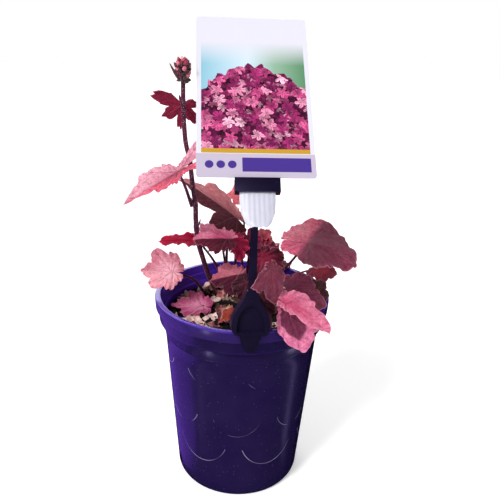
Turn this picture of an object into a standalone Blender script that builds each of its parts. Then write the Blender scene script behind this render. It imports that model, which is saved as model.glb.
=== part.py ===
"""Heuchera in a 150 mm nursery pot, with a clip-on plant label.

Metres, +Z up. The origin is on the pot's axis, on the underside of its base.
The label stands at the front of the pot, towards -Y.
"""

import math
import random

import bmesh
import bpy
import numpy as np
from mathutils import Matrix, Vector, noise

MM = 0.001
GAP = 0.3 * MM

# Pot, all in millimetres
POT_HEIGHT = 172.5
LIP_RADIUS = 75.0
LIP_INNER_RADIUS = 70.2
LIP_HEIGHT = 9.8
BAND_RADIUS = 72.4
BAND_HEIGHT = 11.4
WALL_TOP_RADIUS = 67.3
BASE_RADIUS = 55.5
BASE_CORNER = 3.0
WALL = 1.8
FLOOR = 2.5
POT_STEPS = 40
BEAD_DROP = 32.0
SLOT_COUNT = 8
SLOT_WIDTH = 8.0
SLOT_HEIGHT = 15.0
LUG_WIDTH = 11.0
LUG_RIBS = 6
LUG_RIB_PITCH = 2.6

# Potting mix
MIX_TOP = 153.5
MIX_ROUGHNESS = 2.0
MIX_GRAIN = 14.0
MIX_RINGS = 7
CHIP_COUNT = 16
HOLE_DEPTH = 9.0
LYING = 0.8

# Leaves
BLADE = 0.8
STALK_RADIUS = 1.15
STALK_POINTS = 6
SAMPLES_PER_LOBE = 6
KEEP_RAY = 3

# Flowering stem, from the mix to the buds
STEM_ROUTE = [
    (-24, 33, 145), (-24, 33, 156), (-31, 21, 179), (-36, 10, 202), (-39, 3, 218), (-40, -3, 237),
    (-40, -7, 251), (-42, -10, 269), (-44, -13, 289), (-47, -15, 305), (-48, -18, 328), (-48, -19, 346),
]
STEM_FOOT_RADIUS = 2.4
STEM_TOP_RADIUS = 1.7
STEM_POINTS = 22
BUD_COUNT = 16

# Label card and its clip
CARD_WIDTH = 84.0
CARD_HEIGHT = 137.0
CARD_THICK = 0.8
CARD_CORNER = 2.0
CARD_LEAN = 40.8
CARD_TURN = 4.8
CARD_FOOT = (7.9, -68.0, 290.0)
TONGUE_WIDTH = 28.0
TONGUE_LENGTH = 36.0
SLEEVE = (34.0, 6.4, 10.4)
SLEEVE_DROP = 6.4
CLIP_X = 9.0
STAKE_HALF_WIDTH = 3.2
SPOON_WIDTHS = [  # height along the spoon, half width there, as shares
    (0.0, 0.72), (0.04, 0.9), (0.14, 1.0), (0.32, 0.97), (0.5, 0.82), (0.68, 0.58), (0.84, 0.36),
    (1.0, 0.24),
]
SHIELD = [
    (-9.5, 174), (9.5, 174), (9.0, 169), (7.2, 163), (4.2, 159), (0, 157.6), (-4.2, 159),
    (-7.2, 163), (-9.0, 169),
]
SQUARE = [(-1, -1), (1, -1), (1, 1), (-1, 1)]

COLOURS = {
    "pot": ((0.045, 0.022, 0.130), 0.28),
    "mix": ((0.014, 0.009, 0.008), 0.95),
    "stem": ((0.070, 0.008, 0.024), 0.55),
    "pink": ((0.590, 0.180, 0.240), 0.60),
    "mauve": ((0.170, 0.040, 0.070), 0.60),
    "crimson": ((0.360, 0.008, 0.025), 0.55),
    "maroon": ((0.110, 0.014, 0.030), 0.60),
    "coral": ((0.520, 0.130, 0.120), 0.60),
    "dark": ((0.050, 0.010, 0.016), 0.65),
    "dry": ((0.600, 0.370, 0.260), 0.85),
    "bud": ((0.420, 0.070, 0.100), 0.60),
    "clip": ((0.014, 0.010, 0.038), 0.40),
    "card": ((0.800, 0.790, 0.820), 0.35),
}

# Each leaf: where its blade meets its stalk, which way its tip and its upper face point, its size
# from stalk to tip, where its stalk stands, and how its blade is shaped. "fold" is how far each half
# is raised, "curl" how far the tip bends down, both in degrees, and "reach" the length of each lobe.
LEAVES = {
    "leaf_left": dict(
        at=(-70, -5, 191), tip=(-0.85, 0.2, 0.35), face=(0.1, -0.8, 0.6), size=21, foot=(-36, 33),
        via=(-50, 16, 172), fold=(8, 8), curl=15, back=0.05, span=2.85, colour="pink"),
    "leaf_left_edge": dict(
        at=(-40, 32, 206), tip=(-1, 0.1, 0.03), face=(0.03, 0.42, 0.9), size=36, foot=(-17, 44),
        via=(-26, 41, 182), fold=(5, 5), curl=5, reach=(0.6, 0.8, 1, 0.8, 0.6), colour="crimson"),
    "leaf_back_tall": dict(
        at=(-7, 35, 229), tip=(-0.76, 0.0, 0.62), face=(0.62, -0.2, 0.78), size=50, foot=(-8, 44),
        via=(-7, 42, 195), fold=(-70, 0), curl=15, reach=(0.4, 0.5, 1, 0.6, 0.5), colour="mauve"),
    "leaf_back_small": dict(
        at=(-2, 25, 253), tip=(-0.9, -0.1, 0.1), face=(0.1, -0.6, 0.8), size=14, foot=(-2, 38),
        via=(0, 37, 215), colour="pink"),
    "leaf_centre_left": dict(
        at=(-14, 2, 220), tip=(-0.88, -0.47, 0.2), face=(0, -0.3, 0.95), size=30, foot=(-16, 38),
        via=(-15, 31, 196), fold=(-65, 0), curl=5, reach=(0.5, 0.9, 1, 0.9, 0.5), colour="maroon"),
    "leaf_centre": dict(
        at=(-8, 17, 213), tip=(0.35, -0.45, -0.8), face=(0.3, -0.8, 0.5), size=20, foot=(-9, 34),
        via=(-7, 28, 194), curl=20, reach=(0.3, 0.45, 1, 0.8, 0.6), colour="maroon"),
    "leaf_centre_back": dict(
        at=(3, 28, 213), tip=(0.2, -0.2, -0.9), face=(0, -0.9, 0.3), size=22, foot=(3, 43),
        via=(5, 39, 190), curl=20, reach=(0.4, 0.6, 1, 0.8, 0.6), colour="maroon"),
    "leaf_back_red": dict(
        at=(14, 43, 202), tip=(1, -0.15, 0.12), face=(0.0, 0.62, 0.78), size=20, foot=(3, 48),
        via=(6, 46, 182), curl=0, notch=0.45, colour="crimson"),
    "leaf_back_pink": dict(
        at=(18, 58, 202), tip=(0.6, 0.0, 0.8), face=(0.0, -0.8, 0.6), size=11, foot=(6, 56),
        via=(12, 59, 182), curl=0, colour="pink"),
    "leaf_back_mauve": dict(
        at=(18, 18, 205), tip=(0.92, -0.3, -0.25), face=(0.1, -0.6, 0.8), size=20, foot=(8, 38),
        via=(12, 30, 184), curl=20, reach=(0.6, 0.8, 1, 0.8, 0.6), colour="mauve"),
    "leaf_mid_crimson": dict(
        at=(16, 4, 203), tip=(0.7, -0.2, -0.6), face=(0.1, -0.9, 0.4), size=28, foot=(6, 30),
        via=(12, 20, 180), curl=20, reach=(0.5, 0.8, 1, 0.8, 0.5), colour="maroon"),
    "leaf_right_big": dict(
        at=(52, -8, 222), tip=(0.93, -0.2, -0.12), face=(0.25, -0.35, 0.9), size=48, foot=(14, 34),
        via=(37, 10, 192), curl=30, reach=(0.68, 0.8, 1, 0.9, 0.8), colour="mauve"),
    "leaf_right_small": dict(
        at=(66, 4, 196), tip=(0.9, -0.4, -0.1), face=(0.0, -0.6, 0.8), size=17, foot=(15, 40),
        via=(42, 24, 178), curl=40, colour="pink"),
    "leaf_right_mid": dict(
        at=(37, -38, 193), tip=(0.93, -0.15, -0.25), face=(0.0, -0.55, 0.83), size=35, foot=(12, 18),
        via=(26, -8, 178), curl=20, reach=(0.5, 0.8, 1, 0.8, 0.45), colour="mauve"),
    "leaf_right_olive": dict(
        at=(60, -16, 180), tip=(0.55, 0.2, 0.6), face=(0.0, -0.8, 0.6), size=15, foot=(15, 27),
        via=(40, 8, 168), curl=20, colour="dark"),
    "leaf_by_stake": dict(
        at=(20, -74, 226), tip=(0.2, -0.05, -0.95), face=(0.5, -0.82, 0.25), size=29, foot=(9, 12),
        via=(16, -24, 202), curl=10, reach=(0.6, 0.75, 1, 0.7, 0.55), colour="mauve"),
    "leaf_by_clip_right": dict(
        at=(15, -60, 202), tip=(0.25, 0.0, -0.95), face=(0.2, -0.9, 0.2), size=30, foot=(1, -3),
        via=(6, -28, 172), curl=10, reach=(0.4, 0.7, 1, 0.42, 0.25), colour="dark"),
    "leaf_by_clip_left": dict(
        at=(3, -5, 184), tip=(-0.2, -0.35, -0.95), face=(0.0, -0.9, 0.3), size=19, foot=(-2, 22),
        via=(2, 10, 170), curl=10, reach=(0.6, 0.8, 1, 0.7, 0.5), colour="dark"),
    "leaf_front_right": dict(
        at=(32, -74, 198), tip=(0.84, -0.25, -0.46), face=(0.2, -0.55, 0.8), size=42, foot=(4, 4),
        via=(22, -36, 186), curl=15, reach=(0.3, 0.62, 1, 0.7, 0.35), colour="pink"),
    "leaf_front_low": dict(
        at=(34, -62, 187), tip=(0.4, -0.5, -0.75), face=(0.1, -0.85, 0.5), size=35, foot=(12, 6),
        via=(26, -28, 172), curl=25, reach=(0.35, 0.6, 1, 0.95, 0.6), colour="pink"),
    "leaf_in_pot": dict(
        at=(-4, 6, 186), tip=(-0.95, -0.2, -0.1), face=(0, -0.3, 0.95), size=27, foot=(-7, 26),
        via=(-5, 18, 176), fold=(-65, 5), curl=10, reach=(0.5, 0.8, 1, 0.8, 0.5), colour="coral"),
    "leaf_on_soil": dict(
        at=(-34, -6, 160), tip=(-0.98, 0.15, 0.05), face=(0.0, -0.3, 0.95), size=29, foot=(-26, 10),
        via=(-31, 1, 160), curl=5, fold=(15, 5), reach=(0.5, 0.8, 1, 0.8, 0.5), colour="pink"),
    "leaf_rear_right": dict(
        at=(26, 56, 180), tip=(0.5, 0.85, 0.05), face=(0.1, -0.3, 0.95), size=30, foot=(11, 48),
        via=(18, 51, 172), curl=30, reach=(0.5, 0.8, 1, 0.8, 0.5), colour="mauve"),
    "leaf_rear_left": dict(
        at=(-21, 60, 196), tip=(-0.4, 0.9, -0.05), face=(0.1, -0.2, 0.95), size=30, foot=(-14, 52),
        via=(-17, 55, 176), curl=30, reach=(0.5, 0.8, 1, 0.8, 0.5), colour="mauve"),
}

# Leaves on the flowering stem: their stalks start on the stem instead of in the mix
STEM_LEAVES = {
    "stem_leaf_lower": dict(
        at=(-51, -30, 284), tip=(-0.84, -0.15, -0.5), face=(-0.25, -0.72, 0.65), size=50,
        stalk_from=(-42.9, -8.9, 251), via=(-47, -16, 268), fold=(45, 20), curl=0, cup=0.04, wave=0.03,
        back=0.1, span=2.9, lobes=7, reach=(0.7, 0.4, 0.5, 1, 0.5, 0.4, 0.7), colour="pink"),
    "stem_leaf_upper": dict(
        at=(-50, -9, 331), tip=(0.0, 0.1, -0.99), face=(0.0, 0.95, 0.1), size=25,
        stalk_from=(-48.2, -15.2, 327), via=(-48.6, -12, 330), curl=10, notch=0.45, colour="crimson"),
}

# Dead leaves on the mix, without stalks
DRY_LEAVES = {
    "dry_leaf_left": dict(
        at=(-14, -9, 160), tip=(-0.2, -0.98, 0), face=(0.1, 0, 1), size=20, wave=0.22, waves=3,
        fold=(20, 10), notch=0.45, reach=(0.4, 0.5, 1, 0.7, 0.5), colour="dry"),
    "dry_leaf_back": dict(
        at=(-46, 13, 160), tip=(-0.3, 0.95, 0), face=(0.1, 0, 1), size=14, wave=0.2, waves=4,
        notch=0.5, phase=1.0, colour="dry"),
    "dry_leaf_curled": dict(
        at=(-6, -27, 158), tip=(-0.95, -0.2, 0), face=(0, -0.3, 0.95), size=14, wave=0.12, waves=3,
        fold=(55, 45), notch=0.2, colour="crimson"),
}

LEAF_DEFAULTS = dict(
    lobes=5, span=2.75, notch=0.2, teeth=3, tooth=0.12, back=0.25, reach=None, fold=(0, 0),
    cup=0.08, wave=0.06, waves=5, phase=0.0, curl=20)


# Scene and materials
def clear_scene():
    for obj in list(bpy.data.objects):
        bpy.data.objects.remove(obj, do_unlink=True)


def new_collection(name):
    collection = bpy.data.collections.new(name)
    bpy.context.scene.collection.children.link(collection)
    return collection


def material(name):
    found = bpy.data.materials.get(name)
    if found:
        return found
    colour, roughness = COLOURS[name]
    made = bpy.data.materials.new(name)
    made.use_nodes = True
    shader = made.node_tree.nodes["Principled BSDF"]
    shader.inputs["Base Color"].default_value = (*colour, 1.0)
    shader.inputs["Roughness"].default_value = roughness
    shader.inputs["Metallic"].default_value = 0.0
    return made


def add_object(name, data, collection):
    obj = bpy.data.objects.new(name, data)
    collection.objects.link(obj)
    return obj


def finish(obj, colour, smooth_angle=40):
    obj.data.materials.clear()
    obj.data.materials.append(material(colour))
    obj.data.shade_smooth()
    obj.data.set_sharp_from_angle(angle=math.radians(smooth_angle))
    return obj


def add_helper(name, data):
    obj = add_object(name, data, CUTTERS)
    obj.hide_render = True
    obj.display_type = "WIRE"
    return obj


def baked(obj):
    """Replaces an object by the mesh that its modifiers or its curve make."""
    bpy.context.view_layer.update()
    graph = bpy.context.evaluated_depsgraph_get()
    mesh = bpy.data.meshes.new_from_object(obj.evaluated_get(graph))
    mesh.transform(obj.matrix_world)
    shape = bmesh.new()
    shape.from_mesh(mesh)
    bmesh.ops.remove_doubles(shape, verts=shape.verts, dist=0.00001)
    bmesh.ops.triangulate(shape, faces=shape.faces)
    shape.to_mesh(mesh)
    shape.free()
    name = obj.name
    collection = obj.users_collection[0]
    bpy.data.objects.remove(obj, do_unlink=True)
    return add_object(name, mesh, collection)


def combine(obj, helpers, operation, solver="EXACT"):
    """Joins helpers to an object, or cuts them from it, and removes them."""
    group = bpy.data.collections.new("operands")
    for helper in helpers:
        group.objects.link(helper)
    step = obj.modifiers.new(operation.lower(), "BOOLEAN")
    step.operand_type = "COLLECTION"
    step.collection = group
    step.operation = operation
    step.solver = solver
    obj = baked(obj)
    for helper in helpers:
        bpy.data.objects.remove(helper, do_unlink=True)
    bpy.data.collections.remove(group)
    return obj


# Shapes
def turned(name, profile, steps, collection):
    """A Screw of a profile in millimetres, which runs from the axis inside to the axis outside."""
    mesh = bpy.data.meshes.new(name)
    points = [(radius * MM, 0, height * MM) for radius, height in profile]
    mesh.from_pydata(points, [(i, i + 1) for i in range(len(points) - 1)], [])
    obj = add_object(name, mesh, collection)
    screw = obj.modifiers.new("turn", "SCREW")
    screw.steps = steps
    screw.render_steps = steps
    screw.use_merge_vertices = True
    screw.merge_threshold = 0.0001
    return baked(obj)


def smooth_route(points, count):
    """Points along a smooth curve through the given ones."""
    points = [Vector(p) for p in points]
    ends = [2 * points[0] - points[1]] + points + [2 * points[-1] - points[-2]]
    route = []
    for step in range(count):
        place = step * (len(points) - 1) / (count - 1)
        i = min(int(place), len(points) - 2)
        t = place - i
        a, b, c, d = ends[i:i + 4]
        route.append(0.5 * (2 * b + (c - a) * t + (2 * a - 5 * b + 4 * c - d) * t * t
                            + (3 * b - a - 3 * c + d) * t ** 3))
    return route


def tube(name, route, radii, resolution=1):
    curve = bpy.data.curves.new(name, "CURVE")
    curve.dimensions = "3D"
    curve.bevel_depth = MM
    curve.bevel_resolution = resolution
    curve.use_fill_caps = True
    spline = curve.splines.new("POLY")
    spline.points.add(len(route) - 1)
    for point, place, radius in zip(spline.points, route, radii):
        point.co = (*(Vector(place) * MM), 1)
        point.radius = radius
    return baked(add_helper(name, curve))


def box(name, size, place, turn=None):
    shape = bmesh.new()
    bmesh.ops.create_cube(shape, size=1)
    matrix = Matrix.Translation(Vector(place) * MM) @ (turn or Matrix())
    bmesh.ops.transform(shape, matrix=matrix @ Matrix.Diagonal((*(s * MM for s in size), 1)),
                        verts=shape.verts)
    mesh = bpy.data.meshes.new(name)
    shape.to_mesh(mesh)
    shape.free()
    return add_helper(name, mesh)


def cylinder(name, radius, low, high, place, sides=6):
    shape = bmesh.new()
    bmesh.ops.create_cone(shape, cap_ends=True, segments=sides, radius1=radius * MM,
                          radius2=radius * MM, depth=(high - low) * MM)
    bmesh.ops.translate(shape, verts=shape.verts,
                        vec=(place[0] * MM, place[1] * MM, (low + high) / 2 * MM))
    mesh = bpy.data.meshes.new(name)
    shape.to_mesh(mesh)
    shape.free()
    return add_helper(name, mesh)


# Pot
def wall_radius(height):
    """Outer radius of the tapered wall."""
    top = POT_HEIGHT - LIP_HEIGHT - BAND_HEIGHT
    return BASE_RADIUS + (WALL_TOP_RADIUS - BASE_RADIUS) * height / top


def inner_radius(height):
    return wall_radius(height) - WALL


def make_pot():
    lip_low = POT_HEIGHT - LIP_HEIGHT
    band_low = lip_low - BAND_HEIGHT
    bead = POT_HEIGHT - BEAD_DROP
    shelf = inner_radius(150)
    inside = [
        (0, FLOOR), (inner_radius(FLOOR) - 3, FLOOR), (inner_radius(6), 6), (shelf, 150),
        (shelf + 0.8, 158), (shelf + 1.8, 158.8), (LIP_INNER_RADIUS - 1.2, 165.8),
        (LIP_INNER_RADIUS, POT_HEIGHT - 0.4), (LIP_INNER_RADIUS + 0.5, POT_HEIGHT),
    ]
    outside = [
        (LIP_RADIUS - 0.8, POT_HEIGHT), (LIP_RADIUS, POT_HEIGHT - 0.9),
        (LIP_RADIUS - 0.5, lip_low + 0.6), (LIP_RADIUS - 1.2, lip_low), (BAND_RADIUS, lip_low - 0.5),
        (BAND_RADIUS - 0.9, band_low + 0.8), (BAND_RADIUS - 1.8, band_low),
        (wall_radius(band_low) + 0.2, band_low - 0.6), (wall_radius(bead + 1), bead + 1),
        (wall_radius(bead) + 0.5, bead), (wall_radius(bead - 1), bead - 1),
        (wall_radius(BASE_CORNER), BASE_CORNER), (BASE_RADIUS - 0.9, 0.9),
        (BASE_RADIUS - BASE_CORNER, 0), (0, 0),
    ]
    pot = turned("pot", inside + outside, POT_STEPS, PART)
    slots = []
    for index in range(SLOT_COUNT):
        turn = Matrix.Rotation(math.tau * (index + 0.5) / SLOT_COUNT, 4, "Z")
        place = turn @ Vector((BASE_RADIUS, 0, SLOT_HEIGHT / 2 - 1))
        slots.append(box("slot", (12, SLOT_WIDTH, SLOT_HEIGHT), place, turn))
    pot = combine(pot, slots, "DIFFERENCE")
    lug_top = POT_HEIGHT - 2
    lug_y = LIP_INNER_RADIUS - 1.2
    pieces = [box("lug", (LUG_WIDTH, 3, 16), (0, lug_y, lug_top - 8))]
    for index in range(LUG_RIBS):
        rib = box("rib", (LUG_WIDTH - 2, 1.2, 1.1),
                  (0, lug_y - 1.8, lug_top - 1.6 - LUG_RIB_PITCH * index))
        pieces.append(rib)
    pot = combine(pot, pieces, "UNION")
    return finish(pot, "pot", 30)


# Potting mix
def mix_height(x, y):
    """Height of the mix, in millimetres, at a place."""
    rise = noise.noise(Vector((x / MIX_GRAIN, y / MIX_GRAIN, 0.7)))
    return MIX_TOP + MIX_ROUGHNESS * rise - 2.0 * (math.hypot(x, y) / 66) ** 4


def clear_of_litter(place):
    """True where a chip would not lift a leaf that lies on the mix."""
    lying = [*DRY_LEAVES.values(), LEAVES["leaf_on_soil"]]
    return all((place - Vector(leaf["at"][:2])).length > leaf["size"] + 8 for leaf in lying)


def make_mix(stalk_feet):
    edge = inner_radius(150) - 0.5
    top = [(0, MIX_TOP)] + [(edge * (ring + 1) / MIX_RINGS, MIX_TOP) for ring in range(MIX_RINGS)]
    low = FLOOR + GAP / MM
    side = [(inner_radius(6) - 0.5, 6.2), (inner_radius(FLOOR) - 3.4, low), (0, low)]
    mix = turned("potting_mix", top + side, POT_STEPS, PART)
    for vertex in mix.data.vertices:
        x, y, z = vertex.co / MM
        if z > MIX_TOP - 1:
            vertex.co.z = mix_height(x, y) * MM
    chance = random.Random(5)
    chips = []
    while len(chips) < CHIP_COUNT:
        place = Vector((chance.uniform(-58, 58), chance.uniform(-58, 58)))
        turn = (Matrix.Rotation(chance.uniform(0, math.tau), 4, "Z")
                @ Matrix.Rotation(chance.uniform(-0.25, 0.25), 4, "X"))
        size = (chance.uniform(6, 12), chance.uniform(3.5, 6), chance.uniform(2.5, 4))
        if place.length < 58 and clear_of_litter(place):
            chips.append(box("chip", size, (*place, mix_height(*place) + 0.3), turn))
    mix = combine(mix, chips, "UNION")
    holes = [cylinder("hole", radius + GAP / MM + 0.1, MIX_TOP - HOLE_DEPTH, MIX_TOP + 12, (x, y))
             for x, y, radius in stalk_feet]
    mix = combine(mix, holes, "DIFFERENCE")
    return finish(mix, "mix", 25)


# Leaves
def margin(angle, leaf):
    """Distance from the stalk to the edge at an angle from the tip, as a share of the size."""
    step = 2 * leaf["span"] / leaf["lobes"]
    lobe = 1 - leaf["notch"] * (1 - abs(math.cos(math.pi * angle / step)) ** 0.7)
    tooth = 1 - leaf["tooth"] * (1 - abs(math.cos(math.pi * angle * leaf["teeth"] / step)))
    share = lobe * tooth * (1 - leaf["back"] * (abs(angle) / leaf["span"]) ** 1.6)
    if leaf["reach"]:
        middles = [-leaf["span"] + step * (index + 0.5) for index in range(leaf["lobes"])]
        share *= float(np.interp(angle, middles, leaf["reach"]))
    return share


def blade_point(share, angle, leaf):
    """A point of the blade: along its midrib, across it and up from its face, in millimetres."""
    size = leaf["size"]
    radius = share * margin(angle, leaf)
    along = radius * math.cos(angle) * size
    across = radius * math.sin(angle) * size
    soft = 0.06 * size
    reach = math.hypot(across, soft) - soft
    fold = math.radians(leaf["fold"][0 if across > 0 else 1])
    up = reach * math.sin(fold) - leaf["cup"] * size * radius ** 2
    up += leaf["wave"] * size * radius ** 2 * math.sin(leaf["waves"] * angle + leaf["phase"])
    across = math.copysign(reach * math.cos(fold), across)
    bend = math.radians(leaf["curl"])
    if abs(bend) > 0.001:
        turn = size / bend
        along, up = ((turn + up) * math.sin(bend * along / size),
                     (turn + up) * math.cos(bend * along / size) - turn)
    return Vector((along, across, up))


def leaf_frame(leaf):
    tip = Vector(leaf["tip"]).normalized()
    face = Vector(leaf["face"])
    face = (face - face.dot(tip) * tip).normalized()
    return tip, face.cross(tip), face


def make_blade(name, leaf, collection, floor=None):
    """A grid wrapped round the stalk, shaped, split into triangles and given its thickness.
    With a floor, the blade is let down until it touches."""
    tip, across, face = leaf_frame(leaf)
    rays = leaf["lobes"] * SAMPLES_PER_LOBE
    rings = 3 if leaf["size"] > 40 else 2
    shape = bmesh.new()
    bmesh.ops.create_grid(shape, x_segments=rings, y_segments=rays, size=0.5)
    first_ring = sorted((v for v in shape.verts if abs(v.co.x + 0.5 - 1 / rings) < 0.01),
                        key=lambda v: v.co.y)
    spare = {v: first_ring[i - i % KEEP_RAY] for i, v in enumerate(first_ring) if i % KEEP_RAY}
    for vertex in shape.verts:
        point = blade_point(vertex.co.x + 0.5, vertex.co.y * 2 * leaf["span"], leaf)
        vertex.co = Vector(leaf["at"]) + tip * point.x + across * point.y + face * point.z
    if floor:
        lift = min(v.co.z - floor(v.co.x, v.co.y) for v in shape.verts)
        bmesh.ops.translate(shape, verts=shape.verts, vec=(0, 0, -lift))
    bmesh.ops.scale(shape, verts=shape.verts, vec=(MM, MM, MM))
    bmesh.ops.weld_verts(shape, targetmap=spare)
    bmesh.ops.remove_doubles(shape, verts=shape.verts, dist=0.00001)
    bmesh.ops.triangulate(shape, faces=shape.faces, quad_method="FIXED")
    mesh = bpy.data.meshes.new(name)
    shape.to_mesh(mesh)
    shape.free()
    blade = add_object(name, mesh, collection)
    wall = blade.modifiers.new("thickness", "SOLIDIFY")
    wall.thickness = BLADE * MM
    wall.offset = 0
    return baked(blade)


def stalk_route(leaf):
    """From the mix or the flowering stem, past one point on the way, to the blade."""
    end = Vector(leaf["at"])
    if "foot" in leaf:
        low = Vector((*leaf["foot"], MIX_TOP - HOLE_DEPTH + 0.5))
        points = [Vector((*leaf["foot"], MIX_TOP + 3)), Vector(leaf["via"]), end]
        route = [low] + smooth_route(points, STALK_POINTS)
    else:
        route = smooth_route([Vector(leaf["stalk_from"]), Vector(leaf["via"]), end], STALK_POINTS)
    route.append(end + (route[-1] - route[-2]).normalized() * 0.9)
    return route


def stalk_radius(leaf):
    return STALK_RADIUS if leaf["size"] > 18 else 0.85


def make_leaf(name, leaf):
    blade = make_blade(name, leaf, PART)
    route = stalk_route(leaf)
    stalk = tube(name + "_stalk", route, [stalk_radius(leaf)] * len(route))
    blade = combine(blade, [stalk], "UNION")
    return finish(blade, leaf["colour"], 60)


# Flowering stem and its buds
def make_stem():
    route = smooth_route(STEM_ROUTE, STEM_POINTS)
    radii = [STEM_FOOT_RADIUS + (STEM_TOP_RADIUS - STEM_FOOT_RADIUS) * i / (STEM_POINTS - 1)
             for i in range(STEM_POINTS)]
    stem = tube("flower_stem", route, radii, 2)
    PART.objects.link(stem)
    CUTTERS.objects.unlink(stem)
    stem.hide_render = False
    stem.display_type = "TEXTURED"
    return finish(stem, "stem", 60)


def ball(name, radius, place, stretch=(1, 1, 1), turn=None, rounds=1):
    shape = bmesh.new()
    bmesh.ops.create_icosphere(shape, subdivisions=rounds, radius=radius * MM)
    matrix = Matrix.Translation(Vector(place) * MM) @ (turn or Matrix()) @ Matrix.Diagonal((*stretch, 1))
    bmesh.ops.transform(shape, matrix=matrix, verts=shape.verts)
    mesh = bpy.data.meshes.new(name)
    shape.to_mesh(mesh)
    shape.free()
    return mesh


def make_flower_head():
    """Buds set round a core by the golden angle, with narrow bracts below them."""
    foot = Vector(STEM_ROUTE[-1]) + Vector((0, 0, 0.4))
    centre = foot + Vector((0.5, 0, 9))
    head = add_object("flower_head", ball("flower_head", 1, centre, (5.2, 4.8, 8.6), rounds=2), PART)
    parts = [add_helper("foot", ball("foot", 2.2, foot + Vector((0, 0, 2.4)), (1, 1, 1.1)))]
    for index in range(BUD_COUNT):
        height = 1 - 1.75 * (index + 0.5) / BUD_COUNT
        angle = index * math.radians(137.5)
        ring = math.sqrt(1 - height * height)
        out = Vector((ring * math.cos(angle), ring * math.sin(angle), height))
        place = centre + Vector((out.x * 6.0, out.y * 5.6, out.z * 9.0))
        turn = out.to_track_quat("Z", "Y").to_matrix().to_4x4()
        parts.append(add_helper("bud", ball("bud", 1.9, place, (1, 1, 1.35), turn)))
    for angle, length in ((190, 15), (100, 9), (250, 9)):
        direction = Vector((math.cos(math.radians(angle)), math.sin(math.radians(angle)), 0))
        route = [foot + Vector((0, 0, 2)) + direction * length * t * 0.75 + Vector((0, 0, length * t ** 2.2))
                 for t in (0, 0.35, 0.7, 1)]
        parts.append(tube("bract", route, [1.4, 1.7, 1.3, 0.35]))
    head = combine(head, parts, "UNION")
    return finish(head, "bud", 50)


# Label card and its clip
def card_matrix():
    return (Matrix.Translation(Vector(CARD_FOOT) * MM) @ Matrix.Rotation(math.radians(CARD_TURN), 4, "Z")
            @ Matrix.Rotation(math.radians(90 - CARD_LEAN), 4, "X"))


def card_outline():
    """Outline in the card's plane: a rounded card above, a tongue below that narrows to its end."""
    half = CARD_WIDTH / 2
    neck = TONGUE_WIDTH / 2
    low = -TONGUE_LENGTH
    right = [
        (half - CARD_CORNER, CARD_HEIGHT), (half - 0.6, CARD_HEIGHT - 0.6), (half, CARD_HEIGHT - CARD_CORNER),
        (half, CARD_CORNER), (half - 0.6, 0.6), (half - CARD_CORNER, 0), (neck, 0), (neck, low * 0.45),
        (neck * 0.93, low * 0.7), (neck * 0.72, low * 0.9), (neck * 0.4, low), (0, low - 0.6),
    ]
    left = [(-x, y) for x, y in reversed(right[:-1])]
    return right + left


def make_card():
    curve = bpy.data.curves.new("label_card", "CURVE")
    curve.dimensions = "2D"
    curve.fill_mode = "BOTH"
    curve.extrude = CARD_THICK / 2 * MM
    points = card_outline()
    spline = curve.splines.new("POLY")
    spline.points.add(len(points) - 1)
    for point, (x, y) in zip(spline.points, points):
        point.co = (x * MM, y * MM, 0, 1)
    spline.use_cyclic_u = True
    card = add_object("label_card", curve, PART)
    card.matrix_world = card_matrix()
    return finish(baked(card), "card", 30)


def lofted(name, rings, collection):
    """A closed solid through rings of the same number of points, with flat ends."""
    shape = bmesh.new()
    rows = [[shape.verts.new(Vector(p) * MM) for p in ring] for ring in rings]
    count = len(rings[0])
    for low, high in zip(rows, rows[1:]):
        for i in range(count):
            shape.faces.new((low[i], low[(i + 1) % count], high[(i + 1) % count], high[i]))
    shape.faces.new(list(reversed(rows[0])))
    shape.faces.new(rows[-1])
    bmesh.ops.recalc_face_normals(shape, faces=shape.faces)
    bmesh.ops.triangulate(shape, faces=shape.faces)
    mesh = bpy.data.meshes.new(name)
    shape.to_mesh(mesh)
    shape.free()
    return add_object(name, mesh, collection)


def teardrop(width, low, high, y):
    """A spoon outline at depth y: a round-cornered foot that narrows to the stake."""
    half = width / 2
    right = [(half * w, low + (high - low) * t) for t, w in SPOON_WIDTHS]
    points = right + [(-x, z) for x, z in reversed(right)]
    return [(CLIP_X + x, y, z) for x, z in points]


def stake_section(y, half_depth, height):
    return [(CLIP_X + STAKE_HALF_WIDTH * a, y + half_depth * b, height) for a, b in SQUARE]


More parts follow.
